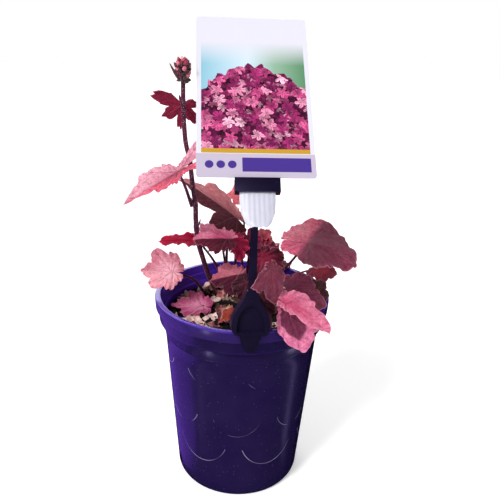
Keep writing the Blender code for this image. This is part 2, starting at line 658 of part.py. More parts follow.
def make_stake():
    """One moulding: a hollow-faced spoon and a shield outside the lip, a jaw inside it, the stake
    above them and the sleeve that holds the card's tongue."""
    rim = POT_HEIGHT + GAP / MM
    lip_front = -math.sqrt(LIP_RADIUS ** 2 - CLIP_X ** 2)
    spoon = lofted("label_stake", [teardrop(24, rim, 207, lip_front - 5.0),
                                   teardrop(31, rim, 206, lip_front + 4.0)], PART)
    shield = lofted("shield", [
        [(CLIP_X + x * 0.9, lip_front - 3.8, z) for x, z in SHIELD],
        [(CLIP_X + x, lip_front - 0.9, z) for x, z in SHIELD]], CUTTERS)
    jaw_y = -math.sqrt(LIP_INNER_RADIUS ** 2 - CLIP_X ** 2)
    jaw = box("jaw", (12, 2.4, 16), (CLIP_X, jaw_y + 5.6, rim - 4))
    saddle = box("saddle", (22, 12, 4), (CLIP_X, jaw_y + 0.8, rim + 2))
    blade = lofted("blade", [
        stake_section(lip_front - 2, 1.6, 203), stake_section(-73.5, 1.5, 247),
        stake_section(-73.5, 1.5, 281)], CUTTERS)
    across_card = (card_matrix() @ Matrix.Translation(Vector((0, -SLEEVE_DROP, 0)) * MM)
                   @ Matrix.Rotation(math.radians(-90), 4, "X"))
    sleeve = box("sleeve", SLEEVE, (0, 0, 0))
    sleeve.data.transform(across_card)
    stake = combine(spoon, [shield, jaw, saddle, blade, sleeve], "UNION")
    slot = box("slot", (TONGUE_WIDTH + 1.2, CARD_THICK + 0.8, 30), (0, 0, 0))
    slot.data.transform(across_card)
    recess = lofted("recess", [teardrop(17, rim + 3, 196, lip_front - 8),
                               teardrop(15, rim + 4, 195, lip_front - 3.2)], CUTTERS)
    stake = combine(stake, [slot, recess], "DIFFERENCE")
    return finish(stake, "clip", 35)


def main():
    make_pot()
    feet = [(*leaf["foot"], stalk_radius({**LEAF_DEFAULTS, **leaf})) for leaf in LEAVES.values()]
    make_mix(feet + [(STEM_ROUTE[0][0], STEM_ROUTE[0][1], STEM_FOOT_RADIUS + 1.2)])
    for name, leaf in {**LEAVES, **STEM_LEAVES}.items():
        make_leaf(name, {**LEAF_DEFAULTS, **leaf})
    for name, leaf in DRY_LEAVES.items():
        leaf = {**LEAF_DEFAULTS, **leaf}
        blade = make_blade(name, leaf, PART, lambda x, y: mix_height(x, y) + LYING)
        finish(blade, leaf["colour"], 60)
    make_stem()
    make_flower_head()
    make_card()
    make_stake()


clear_scene()
PART = new_collection("heuchera_in_pot")
CUTTERS = new_collection("cutters")
main()
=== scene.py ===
"""Looks of a potted heuchera with its clip-on plant label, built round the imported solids.

Laid out as a Blender add-on: settings, one operator for each piece or group of like pieces and one
for the stage, and a panel that lists them. Lengths in tables are millimetres, +Z is up, and the
label stands at the front of the pot, towards -Y.
"""

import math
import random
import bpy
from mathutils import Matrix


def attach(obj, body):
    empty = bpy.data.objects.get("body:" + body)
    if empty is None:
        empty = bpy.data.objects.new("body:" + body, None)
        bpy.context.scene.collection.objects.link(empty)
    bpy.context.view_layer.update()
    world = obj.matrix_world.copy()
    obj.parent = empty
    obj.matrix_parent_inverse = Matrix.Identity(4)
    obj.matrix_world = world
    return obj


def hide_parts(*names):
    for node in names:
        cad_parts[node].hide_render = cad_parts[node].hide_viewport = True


bl_info = {
    "name": "Potted heuchera",
    "version": (1, 0, 0),
    "blender": (4, 5, 0),
    "location": "View3D > Sidebar > Heuchera",
    "description": "Builds a potted heuchera, its pot and its plant label",
    "category": "Object",
}

import bpy
import numpy as np
from bpy.props import FloatProperty, FloatVectorProperty, IntProperty, PointerProperty
from mathutils import Color, Matrix, Vector, noise

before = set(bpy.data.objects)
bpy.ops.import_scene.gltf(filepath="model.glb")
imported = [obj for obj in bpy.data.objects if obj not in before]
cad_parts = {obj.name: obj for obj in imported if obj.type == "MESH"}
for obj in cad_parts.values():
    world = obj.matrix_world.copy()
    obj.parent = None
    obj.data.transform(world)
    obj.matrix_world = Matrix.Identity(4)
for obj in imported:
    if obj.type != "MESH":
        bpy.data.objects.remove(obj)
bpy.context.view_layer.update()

MM = 0.001
METRE = 1000.0
UP = Vector((0, 0, 1))

# Pot, as in the solids
POT_HEIGHT = 172.5
LIP_RADIUS = 75.0
LIP_INNER_RADIUS = 70.2
LIP_HEIGHT = 9.8
BAND_RADIUS = 72.4
BAND_HEIGHT = 11.4
WALL_TOP_RADIUS = 67.3
BASE_RADIUS = 55.5
BASE_CORNER = 3.0
WALL = 1.8
FLOOR = 2.5
BEAD_DROP = 32.0
SLOT_COUNT = 8
SLOT_WIDTH = 8.0
SLOT_HEIGHT = 15.0
LUG_WIDTH = 11.0
LUG_RIBS = 6
LUG_RIB_PITCH = 2.6
# arcs on the wall: how many round it, a shift, the height of their ends and their half width
MOULD_ARCS = ((7, 0.27, 88, 21), (6, 0.55, 60, 26), (8, 0.1, 130, 15))
ARC_WALL_RADIUS = 62.0
ARC_WIDTH = 0.8

# Potting mix
MIX_TOP = 153.5
MIX_ROUGHNESS = 2.0
MIX_GRAIN = 14.0
MIX_SINK = 2.0
MIX_RINGS = 46
STREWN_RADIUS = 61.0
HOLE_DEPTH = 9.0
LYING = 0.8
CRUMPLE_SEED = 7
CRUMPLE_GRAIN = 0.16
CRUMPLE_DEPTH = 1.1

# Flowering stem, from the mix to the buds
STEM_ROUTE = [
    (-24, 33, 145), (-24, 33, 156), (-31, 21, 179), (-36, 10, 202), (-39, 3, 218), (-40, -3, 237),
    (-40, -7, 251), (-42, -10, 269), (-44, -13, 289), (-47, -15, 305), (-48, -18, 328), (-48, -19, 346),
]
STEM_FOOT_RADIUS = 2.4
STEM_TOP_RADIUS = 1.7
STEM_NODES = (0.42, 0.55, 0.72, 0.93)

# Label card and its clip
CARD_WIDTH = 84.0
CARD_HEIGHT = 137.0
CARD_THICK = 0.8
CARD_CORNER = 2.0
CARD_LEAN = 40.8
CARD_TURN = 4.8
CARD_FOOT = (7.9, -68.0, 290.0)
TONGUE_WIDTH = 24.6
TONGUE_LENGTH = 36.0
SLEEVE = (31.4, 6.4, 10.4)
SLEEVE_DROP = 6.4
CLIP_X = 7.2
STAKE_Y = -73.5
# Forms of the clip: height and half width as shares, and the shield as places across and up
SPOON = ((0, 0.72), (0.04, 0.9), (0.14, 1), (0.32, 0.97), (0.5, 0.82), (0.68, 0.58), (0.84, 0.36), (1, 0.24))
ARCH = ((0.0, 0.96), (0.06, 1.0), (0.3, 0.97), (0.55, 0.88), (0.75, 0.72), (0.9, 0.48), (1.0, 0.2))
SHIELD = (
    (8.8, 174), (-8.8, 174), (-8.2, 169), (-6.4, 163), (-3.8, 159), (0, 157.6), (3.8, 159), (6.4, 163),
    (8.2, 169),
)

# Reflector cards: place in metres, width and height, colour and brightness
REFLECTORS = (
    ((-0.175, -0.205, 0.006), (0.016, 0.045), "#ffffff", 8),
    ((0.25, -0.08, 0.016), (0.05, 0.04), "#ffffff", 2),
    ((0.27, -0.02, -0.04), (0.03, 0.3), "#d8ccff", 0.45),
    ((-0.26, -0.15, -0.05), (0.03, 0.3), "#c0a0d8", 0.3),
    ((-0.27, 0.10, -0.06), (0.38, 0.4), "#965cff", 0.36),
)

# Camera, as fitted to the pot: angles in radians, reach in picture widths of 500
CAMERA_PLACE = (0, -460, 383)
CAMERA_PITCH = 0.357
CAMERA_YAW = 0.012
CAMERA_ROLL = -0.035
CAMERA_REACH = 580

# Each leaf: where its blade meets its stalk, which way its tip and its upper face point, its size
# from stalk to tip, where its stalk stands, and how its blade is shaped. "fold" is how far each half
# is raised, "curl" how far the tip bends down, both in degrees, and "reach" the length of each lobe.
# "near" and "far" are the colours of the half across the midrib on the plus and the minus side, each
# from the middle to the margin, which meet at the shares in "blend" or at a straight border line turned
# by so many radians. "under" is the colour underneath. For some leaves these colours hold painted
# shade: mauve and dark maroon halves, bands and blades stand for shade and for shadows cast by the
# label card and by leaves above, beside the pink the leaf shows in light. Such leaves are marked below.
TAPERED = (0.5, 0.8, 1, 0.8, 0.5)
LEAVES = {
    "leaf_left": dict(
        at=(-59, -5, 191), tip=(-0.97, 0.1, 0.03), face=(0.05, -0.8, 0.6), size=31, foot=(-36, 33),
        via=(-44, 16, 176), lobes=7, span=2.85, notch=0.24, teeth=2, back=0,
        reach=(0.36, 0.6, 0.92, 1, 0.78, 0.58, 0.36), fold=(8, 8), curl=12, frill=1.5,
        near=("#f6b8c4", "#f0a8b4"), far=("#f4b4c2", "#c8808f")),
    # partly painted light: its crimson is the leaf's own colour, made brighter to stand for light glowing
    # through the leaf
    "leaf_left_edge": dict(
        at=(-40, 32, 206), tip=(-1, 0.1, 0.03), face=(0.03, 0.56, 0.83), size=38, foot=(-17, 44),
        via=(-26, 41, 182), reach=(0.6, 0.8, 1, 0.8, 0.6), fold=(5, 5), curl=5, near=("#b8003c", "#cc0040"),
        under="#ec0048"),
    # painted shade: the dark near half stands for the half folded down out of the light
    "leaf_back_tall": dict(
        at=(-8, 35, 229), tip=(-0.78, -0.05, 0.62), face=(0.62, -0.2, 0.78), size=62, foot=(-8, 44),
        via=(-7, 42, 195), reach=(0.4, 0.45, 0.62, 0.92, 1, 0.42, 0.48, 0.48, 0.46), fold=(-70, 0), curl=0,
        near=("#4e2530", "#52262e"), far=("#a86068", "#c47a80")),
    "leaf_back_small": dict(
        at=(-2, 25, 253), tip=(-0.9, -0.1, 0.1), face=(0.1, -0.6, 0.8), size=14, foot=(-2, 38),
        via=(0, 37, 215), near=("#e0747e", "#f08a90")),
    # painted shade: the dark maroon near half stands for the half hanging down in shade
    "leaf_centre_left": dict(
        at=(-14, 2, 220), tip=(-0.88, -0.47, 0.2), face=(0, -0.3, 0.95), size=30, foot=(-16, 38),
        via=(-15, 31, 196), reach=(0.72, 0.85, 1.05, 1, 1.05, 0.85, 0.52, 0.5, 0.5), fold=(-65, 0), curl=5,
        frill=1.6, near=("#4e0e28", "#641630"), far=("#d05c80", "#f090ac")),
    "leaf_centre": dict(
        at=(-8, 17, 213), tip=(0.35, -0.45, -0.8), face=(0.3, -0.8, 0.5), size=20, foot=(-9, 34),
        via=(-7, 28, 194), reach=(0.3, 0.45, 1, 0.8, 0.6), frill=2.4, near=("#a81c48", "#c02c58")),
    "leaf_centre_back": dict(
        at=(3, 28, 213), tip=(0.2, -0.2, -0.9), face=(0, -0.9, 0.3), size=22, foot=(3, 43), via=(5, 39, 190),
        reach=(0.4, 0.6, 1, 0.8, 0.6), frill=2.4, near=("#80183c", "#9a2c50")),
    "leaf_back_red": dict(
        at=(14, 43, 202), tip=(1, -0.15, 0.12), face=(0.0, 0.62, 0.78), size=20, foot=(3, 48),
        via=(6, 46, 182), notch=0.45, curl=0, near=("#d00020", "#c0001c"), under="#d80022"),
    "leaf_back_pink": dict(
        at=(18, 58, 202), tip=(0.6, 0.0, 0.8), face=(0.0, -0.8, 0.6), size=11, foot=(6, 56),
        via=(12, 59, 182), curl=0, near=("#c06070", "#d8808c")),
    "leaf_back_mauve": dict(
        at=(18, 18, 205), tip=(0.92, -0.3, -0.25), face=(0.1, -0.6, 0.8), size=20, foot=(8, 38),
        via=(12, 30, 184), reach=(0.6, 0.8, 1, 0.8, 0.6), frill=2.4, near=("#a03a58", "#862c48")),
    "leaf_mid_crimson": dict(
        at=(16, 4, 203), tip=(0.7, -0.2, -0.6), face=(0.1, -0.9, 0.4), size=28, foot=(6, 30),
        via=(12, 20, 180), reach=TAPERED, frill=2.4, near=("#8c143c", "#5c0c26")),
    # painted shadow: the mauve half towards the tip stands for the label card's shadow across the blade
    "leaf_right_big": dict(
        at=(52, -8, 222), tip=(0.93, -0.2, -0.12), face=(0.25, -0.35, 0.9), size=48, foot=(14, 34),
        via=(37, 10, 192), span=3.05, notch=0.1, teeth=4, tooth=0.035,
        reach=(0.62, 0.56, 0.7, 0.76, 1, 1.06, 1.06, 0.86, 0.66), curl=30, painted_shadow_border=0.2,
        near=("#e67c92", "#8c485c"), far=("#e0708c", "#864056")),
    "leaf_right_small": dict(
        at=(66, 4, 196), tip=(0.9, -0.4, -0.1), face=(0.0, -0.6, 0.8), size=17, foot=(15, 40),
        via=(42, 24, 178), curl=40, near=("#c86070", "#8a4050")),
    # painted shade: the mauve stands for shadow cast on this leaf
    "leaf_right_mid": dict(
        at=(37, -38, 193), tip=(0.93, -0.15, -0.25), face=(0.0, -0.55, 0.83), size=35, foot=(12, 18),
        via=(26, -8, 178), reach=(0.5, 0.8, 1, 0.8, 0.45), near=("#6b2f45", "#74364c")),
    "leaf_right_olive": dict(
        at=(60, -16, 180), tip=(0.55, 0.2, 0.6), face=(0.0, -0.8, 0.6), size=15, foot=(15, 27),
        via=(40, 8, 168), near=("#5a3a2e", "#4a2a30")),
    # painted shade: the mauve stands for this leaf lying in shade
    "leaf_by_stake": dict(
        at=(20, -74, 226), tip=(0.2, -0.05, -0.95), face=(0.5, -0.82, 0.25), size=29, foot=(9, 12),
        via=(16, -24, 202), reach=(0.3, 0.3, 0.82, 0.8, 1.1, 0.8, 0.5, 0.3, 0.3), curl=10,
        near=("#7c384a", "#74364a")),
    # painted shade: the dark brown-maroon stands for this leaf in shade beside the clip
    "leaf_by_clip_right": dict(
        at=(15, -60, 202), tip=(0.25, 0.0, -0.95), face=(0.2, -0.9, 0.2), size=30, foot=(1, -3),
        via=(6, -28, 172), reach=(0.4, 0.7, 1, 0.42, 0.25), curl=10, frill=2.4, near=("#5e2c38", "#48202c")),
    "leaf_by_clip_left": dict(
        at=(3, -5, 184), tip=(-0.2, -0.35, -0.95), face=(0.0, -0.9, 0.3), size=19, foot=(-2, 22),
        via=(2, 10, 170), reach=(0.6, 0.8, 1, 0.7, 0.5), curl=10, near=("#50182c", "#3c1020")),
    "leaf_front_right": dict(
        at=(32, -74, 198), tip=(0.84, -0.25, -0.34), face=(0.2, -0.55, 0.8), size=42, foot=(4, 4),
        via=(22, -36, 186), notch=0.1, reach=(0.22, 0.2, 0.22, 0.36, 1.02, 0.68, 0.55, 0.4, 0.36), curl=15,
        near=("#ce6482", "#e084a0")),
    # painted shadow: the mauve inner part stands for the shadow of leaf_front_right, the pink margin beyond
    # it is the leaf in light
    "leaf_front_low": dict(
        at=(34, -62, 187), tip=(0.4, -0.5, -0.75), face=(0.1, -0.85, 0.5), size=35, foot=(12, 6),
        via=(26, -28, 172), reach=(0.3, 0.32, 0.42, 0.84, 1.04, 1.12, 0.88, 0.5, 0.3), curl=25,
        blend=(0.67, 0.73), near=("#70304a", "#dc82a4"), under="#c00034"),
    # painted shade: the dark near half stands for the half hanging down in shade
    "leaf_in_pot": dict(
        at=(-4, 6, 186), tip=(-0.95, -0.2, -0.1), face=(0, -0.3, 0.95), size=27, foot=(-7, 26),
        via=(-5, 18, 176), reach=TAPERED, fold=(-65, 5), curl=10, frill=1.6, near=("#6c2c40", "#5c2438"),
        far=("#cc7c88", "#b86878")),
    "leaf_on_soil": dict(
        at=(-34, -6, 160), tip=(-0.98, 0.15, 0.05), face=(0.0, -0.3, 0.95), size=29, foot=(-26, 10),
        via=(-31, 1, 160), reach=TAPERED, fold=(15, 5), curl=5, frill=1.5, near=("#dc90ac", "#b85a80"),
        under="#c80038"),
    "leaf_rear_right": dict(
        at=(26, 56, 180), tip=(0.5, 0.85, 0.05), face=(0.1, -0.3, 0.95), size=30, foot=(11, 48),
        via=(18, 51, 172), reach=TAPERED, curl=30, near=("#7a3548", "#6a2c40")),
    "leaf_rear_left": dict(
        at=(-21, 60, 196), tip=(-0.4, 0.9, -0.05), face=(0.1, -0.2, 0.95), size=30, foot=(-14, 52),
        via=(-17, 55, 176), reach=TAPERED, curl=30, near=("#8a4054", "#b05a6c")),
}

# Leaves on the flowering stem: their stalks start on the stem instead of in the mix
STEM_LEAVES = {
    "stem_leaf_lower": dict(
        at=(-51, -30, 284), tip=(-0.84, -0.15, -0.5), face=(-0.25, -0.72, 0.65), size=50,
        stalk_from=(-42.9, -8.9, 251), via=(-47, -16, 268), lobes=9, span=2.9, teeth=2, back=0.1,
        reach=(0.76, 0.3, 0.15, 0.15, 0.26, 0.42, 0.56, 0.88, 1, 0.6, 0.45, 0.38, 0.32, 0.26, 0.2, 0.3, 0.42),
        fold=(20, 6), curl=0, cup=0.04, wave=0.03, near=("#a85868", "#ec7c90"), far=("#d890a4", "#ecacbc"),
        under="#b0103a"),
    "stem_leaf_upper": dict(
        at=(-50, -9, 331), tip=(-0.1, 0.1, -0.99), face=(0.0, 0.95, 0.1), size=20,
        stalk_from=(-48.2, -15.2, 327), via=(-48.6, -12, 330), span=2.2, notch=0.46, point=1.2, tooth=0.14,
        back=0, reach=(0.7, 1, 1, 0.95, 1.35), curl=10, near=("#701030", "#803048"), under="#800832"),
}

# Dead leaves on the mix, without stalks
DRY_LEAVES = {
    "dry_leaf_left": dict(
        at=(-14, -9, 160), tip=(-0.2, -0.98, 0), face=(0.1, 0, 1), size=20, notch=0.45,
        reach=(0.4, 0.5, 1, 0.7, 0.5), fold=(20, 10), wave=0.22, waves=3, near=("#ecc4b0", "#b88870"),
        far=("#e0a8a0", "#6a3038"), under="#c89070"),
    "dry_leaf_back": dict(
        at=(-46, 13, 160), tip=(-0.3, 0.95, 0), face=(0.1, 0, 1), size=14, notch=0.5, wave=0.2, waves=4,
        phase=1.0, near=("#b8a088", "#7a6450"), under="#8a7058"),
    "dry_leaf_curled": dict(
        at=(-6, -27, 158), tip=(-0.95, -0.2, 0), face=(0, -0.3, 0.95), size=14, notch=0.2, fold=(55, 45),
        wave=0.12, waves=3, near=("#a03010", "#a84c40"), under="#a83414"),
}

LEAF_DEFAULTS = dict(
    lobes=5, span=2.75, notch=0.22, point=0.7, teeth=3, tooth=0.06, back=0.25, reach=None, fold=(0, 0),
    curl=20, cup=0.08, wave=0.06, waves=5, phase=0.0, frill=1, blend=(0.2, 0.85), painted_shadow_border=None, far=None,
    under="#a01838")


# Helpers
def to_linear(colour):
    """sRGB hex text as linear red, green and blue."""
    values = [int(colour[i:i + 2], 16) / 255 for i in (1, 3, 5)]
    return tuple(v / 12.92 if v <= 0.04045 else ((v + 0.055) / 1.055) ** 2.4 for v in values)


def plug(socket, value):
    """Sets a socket, or links it. A node as the value stands for its first output in use."""
    if isinstance(value, bpy.types.Node):
        value = next(output for output in value.outputs if output.enabled)
    if isinstance(value, bpy.types.NodeSocket):
        socket.id_data.links.new(value, socket)
    elif isinstance(value, str):
        socket.default_value = (*to_linear(value), 1)
    else:
        socket.default_value = (*value, 1) if isinstance(value, Color) else value


def add_node(tree, kind, *values, stops=None, **settings):
    """Adds a node. values go into its sockets in use, in order. A capitalised name is a socket too,
    other names are the node's own settings, and stops are the colours along its ramp."""
    node = tree.nodes.new("ShaderNode" + kind)
    for name in filter(str.islower, settings):
        setattr(node, name, settings[name])
    for socket, value in zip([socket for socket in node.inputs if socket.enabled], values):
        plug(socket, value)
    for name in filter(str.istitle, settings):
        plug(node.inputs[name], settings[name])
    if stops:
        for place in list(stops)[1:-1]:
            node.color_ramp.elements.new(place)
        for element, colour in zip(node.color_ramp.elements, stops.values()):
            element.color = (*to_linear(colour), 1)
    return node


def shaded(material, **values):
    """Sets or links the shader's own sockets, named here with _ for a space."""
    shader = material.node_tree.nodes["Principled BSDF"]
    for name, value in values.items():
        plug(shader.inputs[name.replace("_", " ")], value)
    return material


def new_material(name, **values):
    material = bpy.data.materials.new(name)
    material.use_nodes = True
    return shaded(material, **values), material.node_tree


def start_clean():
    """Leaves edit mode and selects nothing."""
    if bpy.context.mode != "OBJECT":
        bpy.ops.object.mode_set(mode="OBJECT")
    bpy.ops.object.select_all(action="DESELECT")


def pick(*pieces):
    """Selects these pieces alone, the first one active."""
    start_clean()
    for piece in pieces:
        piece.select_set(True)
    bpy.context.view_layer.objects.active = pieces[0]


def named(name):
    """Names the active object and its mesh."""
    piece = bpy.context.object
    piece.name = piece.data.name = name
    return piece


def joined(pieces):
    """Joins pieces into the first."""
    pick(*pieces)
    if len(pieces) > 1:
        bpy.ops.object.join()
    return pieces[0]


def modified(piece, kind, **settings):
    """Adds a modifier with its settings and applies it."""
    pick(piece)
    bpy.ops.object.modifier_add(type=kind)
    step = piece.modifiers[-1]
    for name, value in settings.items():
        setattr(step, name, value)
    bpy.ops.object.modifier_apply(modifier=step.name)
    return piece


def cut_or_add(piece, other, operation):
    """Joins another solid to a piece, or cuts it away, and removes it."""
    modified(piece, "BOOLEAN", object=other, operation=operation, solver="EXACT")
    bpy.data.objects.remove(other, do_unlink=True)


def merged(piece, outwards=True):
    """Merges doubles and, where the piece is closed, turns its faces outwards."""
    pick(piece)
    bpy.ops.object.mode_set(mode="EDIT")
    bpy.ops.mesh.select_all(action="SELECT")
    bpy.ops.mesh.remove_doubles(threshold=0.00001)
    if outwards:
        bpy.ops.mesh.normals_make_consistent(inside=False)
    bpy.ops.object.mode_set(mode="OBJECT")
    return piece


def dressed(piece, *materials):
    piece.data.materials.clear()
    for material in materials:
        piece.data.materials.append(material)
    return piece


def handed_over(piece, node, angle=60):
    """Smooths the piece, puts its place in its mesh, and gives it to the frame."""
    pick(piece)
    bpy.ops.object.shade_smooth_by_angle(angle=math.radians(angle))
    bpy.ops.object.transform_apply(location=True, rotation=True, scale=True)
    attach(piece, "root")
    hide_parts(node)
    return {"FINISHED"}


def points_of(piece):
    """The piece's points as rows of x, y and z, in millimetres."""
    values = np.empty(len(piece.data.vertices) * 3)
    piece.data.vertices.foreach_get("co", values)
    return values.reshape(-1, 3) / MM


def place_points(piece, points):
    piece.data.vertices.foreach_set("co", np.asarray(points, float).ravel() * MM)
    piece.data.update()


def add_number(mesh, name, values):
    """A number from 0 to 1 on each point, which the material reads."""
    layer = mesh.attributes.new(name, "FLOAT", "POINT")
    layer.data.foreach_set("value", np.broadcast_to(np.asarray(values, float), len(mesh.vertices)).copy())


def corner_points(mesh):
    """Which point each face corner stands on."""
    corners = np.empty(len(mesh.loops), int)
    mesh.loops.foreach_get("vertex_index", corners)
    return corners


def heading(degrees):
    """A level direction, turned from +X."""
    return Vector((math.cos(math.radians(degrees)), math.sin(math.radians(degrees)), 0))


def smooth_route(points, count):
    """Points along a smooth curve through the given ones."""
    points = [Vector(p) for p in points]
    ends = [2 * points[0] - points[1]] + points + [2 * points[-1] - points[-2]]
    route = []
    for step in range(count):
        place = step * (len(points) - 1) / (count - 1)
        i = min(int(place), len(points) - 2)
        t = place - i
        a, b, c, d = ends[i:i + 4]
        route.append(0.5 * (2 * b + (c - a) * t + (2 * a - 5 * b + 4 * c - d) * t * t
                            + (3 * b - a - 3 * c + d) * t ** 3))
    return route


def tube(name, route, radii, roundness=3):
    """A round stem along a route, closed at both ends."""
    start_clean()
    bpy.ops.curve.primitive_nurbs_path_add()
    curve = bpy.context.object.data
    curve.splines.clear()
    curve.bevel_depth = MM
    curve.bevel_resolution = roundness
    curve.use_fill_caps = True
    spline = curve.splines.new("POLY")
    spline.points.add(len(route) - 1)
    for point, place, radius in zip(spline.points, route, radii):
        point.co = (*(Vector(place) * MM), 1)
        point.radius = radius
    bpy.ops.object.convert(target="MESH")
    return merged(named(name))


def turned(name, profile, steps):
    """A circle extruded ring by ring along (radius, height), closed at both ends."""
    start_clean()
    radius, height = profile[0]
    bpy.ops.mesh.primitive_circle_add(vertices=steps, radius=radius * MM, location=(0, 0, height * MM))
    piece = named(name)
    bpy.ops.object.transform_apply(location=True)
    bpy.ops.object.mode_set(mode="EDIT")
    bpy.ops.mesh.select_all(action="SELECT")
    bpy.ops.mesh.edge_face_add()
    bpy.ops.mesh.select_all(action="SELECT")
    for (radius, height), (next_radius, next_height) in zip(profile, profile[1:]):
        bpy.ops.mesh.extrude_region_move(
            TRANSFORM_OT_translate={"value": (0, 0, (next_height - height) * MM)})
        grow = next_radius / radius
        bpy.ops.transform.resize(value=(grow, grow, 1), center_override=(0, 0, next_height * MM))
    bpy.ops.object.mode_set(mode="OBJECT")
    return merged(piece)


def sheet(name, across, along, size=1, place=(0, 0, 0)):
    """A flat square of so many faces across and along, size metres wide."""
    start_clean()
    bpy.ops.mesh.primitive_grid_add(x_subdivisions=across, y_subdivisions=along, size=size, location=place)
    return named(name)


def block(name, size, place=(0, 0, 0), turn=Matrix(), rounding=0.0, segments=2):
    """A cube made to size, with its edges rounded."""
    start_clean()
    bpy.ops.mesh.primitive_cube_add(size=1)
    piece = named(name)
    matrix = Matrix.Translation(Vector(place) * MM) @ turn
    piece.matrix_world = matrix @ Matrix.Diagonal((*(s * MM for s in size), 1))
    bpy.ops.object.transform_apply(location=True, rotation=True, scale=True)
    if rounding:
        modified(piece, "BEVEL", width=rounding * MM, segments=segments, limit_method="ANGLE")
    return piece


def between(front, back):
    """A closed plate between two outlines of the same number of points."""
    start_clean()
    bpy.ops.mesh.primitive_cylinder_add(vertices=len(front), radius=1, depth=2)
    piece = bpy.context.object
    points = points_of(piece)
    order = sorted(range(len(points)), key=lambda i: math.atan2(points[i][1], points[i][0]))
    rings = [[i for i in order if points[i][2] < 0], [i for i in order if points[i][2] > 0]]
    for ring, outline in zip(rings, (front, back)):
        points[ring] = outline
    place_points(piece, points)
    return merged(piece)


# Finishes
def moulded_polypropylene(name, colour, roughness, wear):
    """Injection-moulded polypropylene: smooth and glossy, dyed through. The eye sees a long soft
    reflection, faint flow streaks from the mould, fine scuffs from handling and a little dust."""
    material, tree = new_material(name, IOR=1.49, Specular_IOR_Level=0.55, Specular_Tint="#c8b8ff")
    place = add_node(tree, "TexCoord").outputs["Object"]
    streaks = add_node(tree, "Mapping", place, Scale=(70, 70, 6))
    flow = add_node(tree, "TexNoise", streaks, Scale=1, Detail=1)
    cloud = add_node(tree, "TexNoise", place, Scale=45, Detail=4)
    lighter = add_node(tree, "HueSaturation", Value=1.35, Saturation=0.9, Color=colour)
    tint = add_node(tree, "Mix", cloud, colour, lighter, data_type="RGBA")
    specks = add_node(tree, "TexVoronoi", place, Scale=260)
    dust = add_node(tree, "MapRange", specks, 0.10, 0.02, 0, wear)
    dusty = add_node(tree, "Mix", dust, tint, "#9a90b0", data_type="RGBA")
    rough = add_node(tree, "MapRange", cloud, 0, 1, roughness * 0.8, roughness * 1.4)
    bump = add_node(tree, "Bump", Height=flow, Distance=0.0006, Strength=0.3)
    return shaded(material, Base_Color=dusty, Roughness=rough, Normal=bump), place, dusty, bump


def pot_polypropylene(settings):
    """The pot's plastic, with the thin raised arcs that its mould leaves round the wall, each carrying a
    painted highlight in patches. The lip is painted lighter, a painted reflection of light, and the
    inside above the mix and the top of the lip a lighter violet, painted glow and highlight. The arcs
    are drawn 0.8 mm wide, a little coarser than real, so that they show."""
    material, place, body, bump = moulded_polypropylene(
        "pot_polypropylene_moulded", settings.wall_colour, settings.roughness, 0.35)
    tree = material.node_tree
    x, y, z = add_node(tree, "SeparateXYZ", place).outputs
    turn = add_node(tree, "Math", y, x, operation="ARCTAN2")
    # painted highlight: this noise picks the patches where the arcs show a pale highlight
    cloud = add_node(tree, "TexNoise", place, Scale=30, Detail=1)
    arc_highlight_patches = add_node(tree, "MapRange", cloud, 0.44, 0.6)
    arcs = 0.0
    for count, start, high, half in MOULD_ARCS:
        width = math.tau / count * ARC_WALL_RADIUS * MM
        cell = add_node(tree, "Math", turn, count / math.tau, start, operation="MULTIPLY_ADD")
        share = add_node(tree, "Math", cell, operation="FRACT")
        across = add_node(tree, "Math", share, width, -width / 2, operation="MULTIPLY_ADD")
        down = add_node(tree, "Math", z, high * MM, operation="SUBTRACT")
        far = add_node(tree, "VectorMath", add_node(tree, "CombineXYZ", across, down), operation="LENGTH")
        ring = add_node(tree, "Math", far, half * MM, ARC_WIDTH / 2 * MM, operation="COMPARE")
        hanging = add_node(tree, "Math", down, -0.3 * half * MM, operation="LESS_THAN")
        arc = add_node(tree, "Math", ring, hanging, operation="MULTIPLY")
        arcs = add_node(tree, "Math", arcs, arc, operation="MAXIMUM")
    # painted light: from its foot up, the lip is mixed towards a lighter purple, a painted reflection of
    # light off the lip
    lip_low = (POT_HEIGHT - LIP_HEIGHT) * MM
    lip = add_node(tree, "MapRange", z, lip_low - 0.3 * MM, lip_low + 0.7 * MM, 0, 0.8)
    body = add_node(tree, "Mix", lip, body, settings.lip_painted_light_colour, data_type="RGBA")
    # painted glow: inside the lip and above the mix the wall is mixed towards a lighter violet, standing for
    # light glowing in the thin plastic
    level = add_node(tree, "VectorMath", add_node(tree, "CombineXYZ", x, y), operation="LENGTH")
    inner = add_node(tree, "MapRange", level, (LIP_INNER_RADIUS + 1.4) * MM, (LIP_INNER_RADIUS + 0.8) * MM)
    above = add_node(tree, "MapRange", z, (MIX_TOP - 1.5) * MM, (MIX_TOP - 0.5) * MM)
    inside = add_node(tree, "Math", inner, above, operation="MULTIPLY")
    # painted highlight: the top face of the lip gets the same lighter violet
    top = add_node(tree, "MapRange", z, (POT_HEIGHT - 0.9) * MM, (POT_HEIGHT - 0.4) * MM, 0, 0.8)
    inside = add_node(tree, "Math", inside, top, operation="MAXIMUM")
    body = add_node(tree, "Mix", inside, body, settings.inner_and_top_painted_light_colour, data_type="RGBA")
    # painted highlight: in patches the arcs are mixed towards a pale lilac, standing for glints off their
    # raised edges
    seen = add_node(tree, "Math", arcs, arc_highlight_patches, operation="MULTIPLY")
    bright = add_node(tree, "Math", seen, 0.35, operation="MULTIPLY")
    arc_highlighted = add_node(tree, "Mix", bright, body, "#b8b0d0", data_type="RGBA")
    relief = add_node(tree, "Bump", Height=arcs, Distance=0.0008, Strength=0.8, Normal=bump)
    return shaded(material, Base_Color=arc_highlighted, Normal=relief)


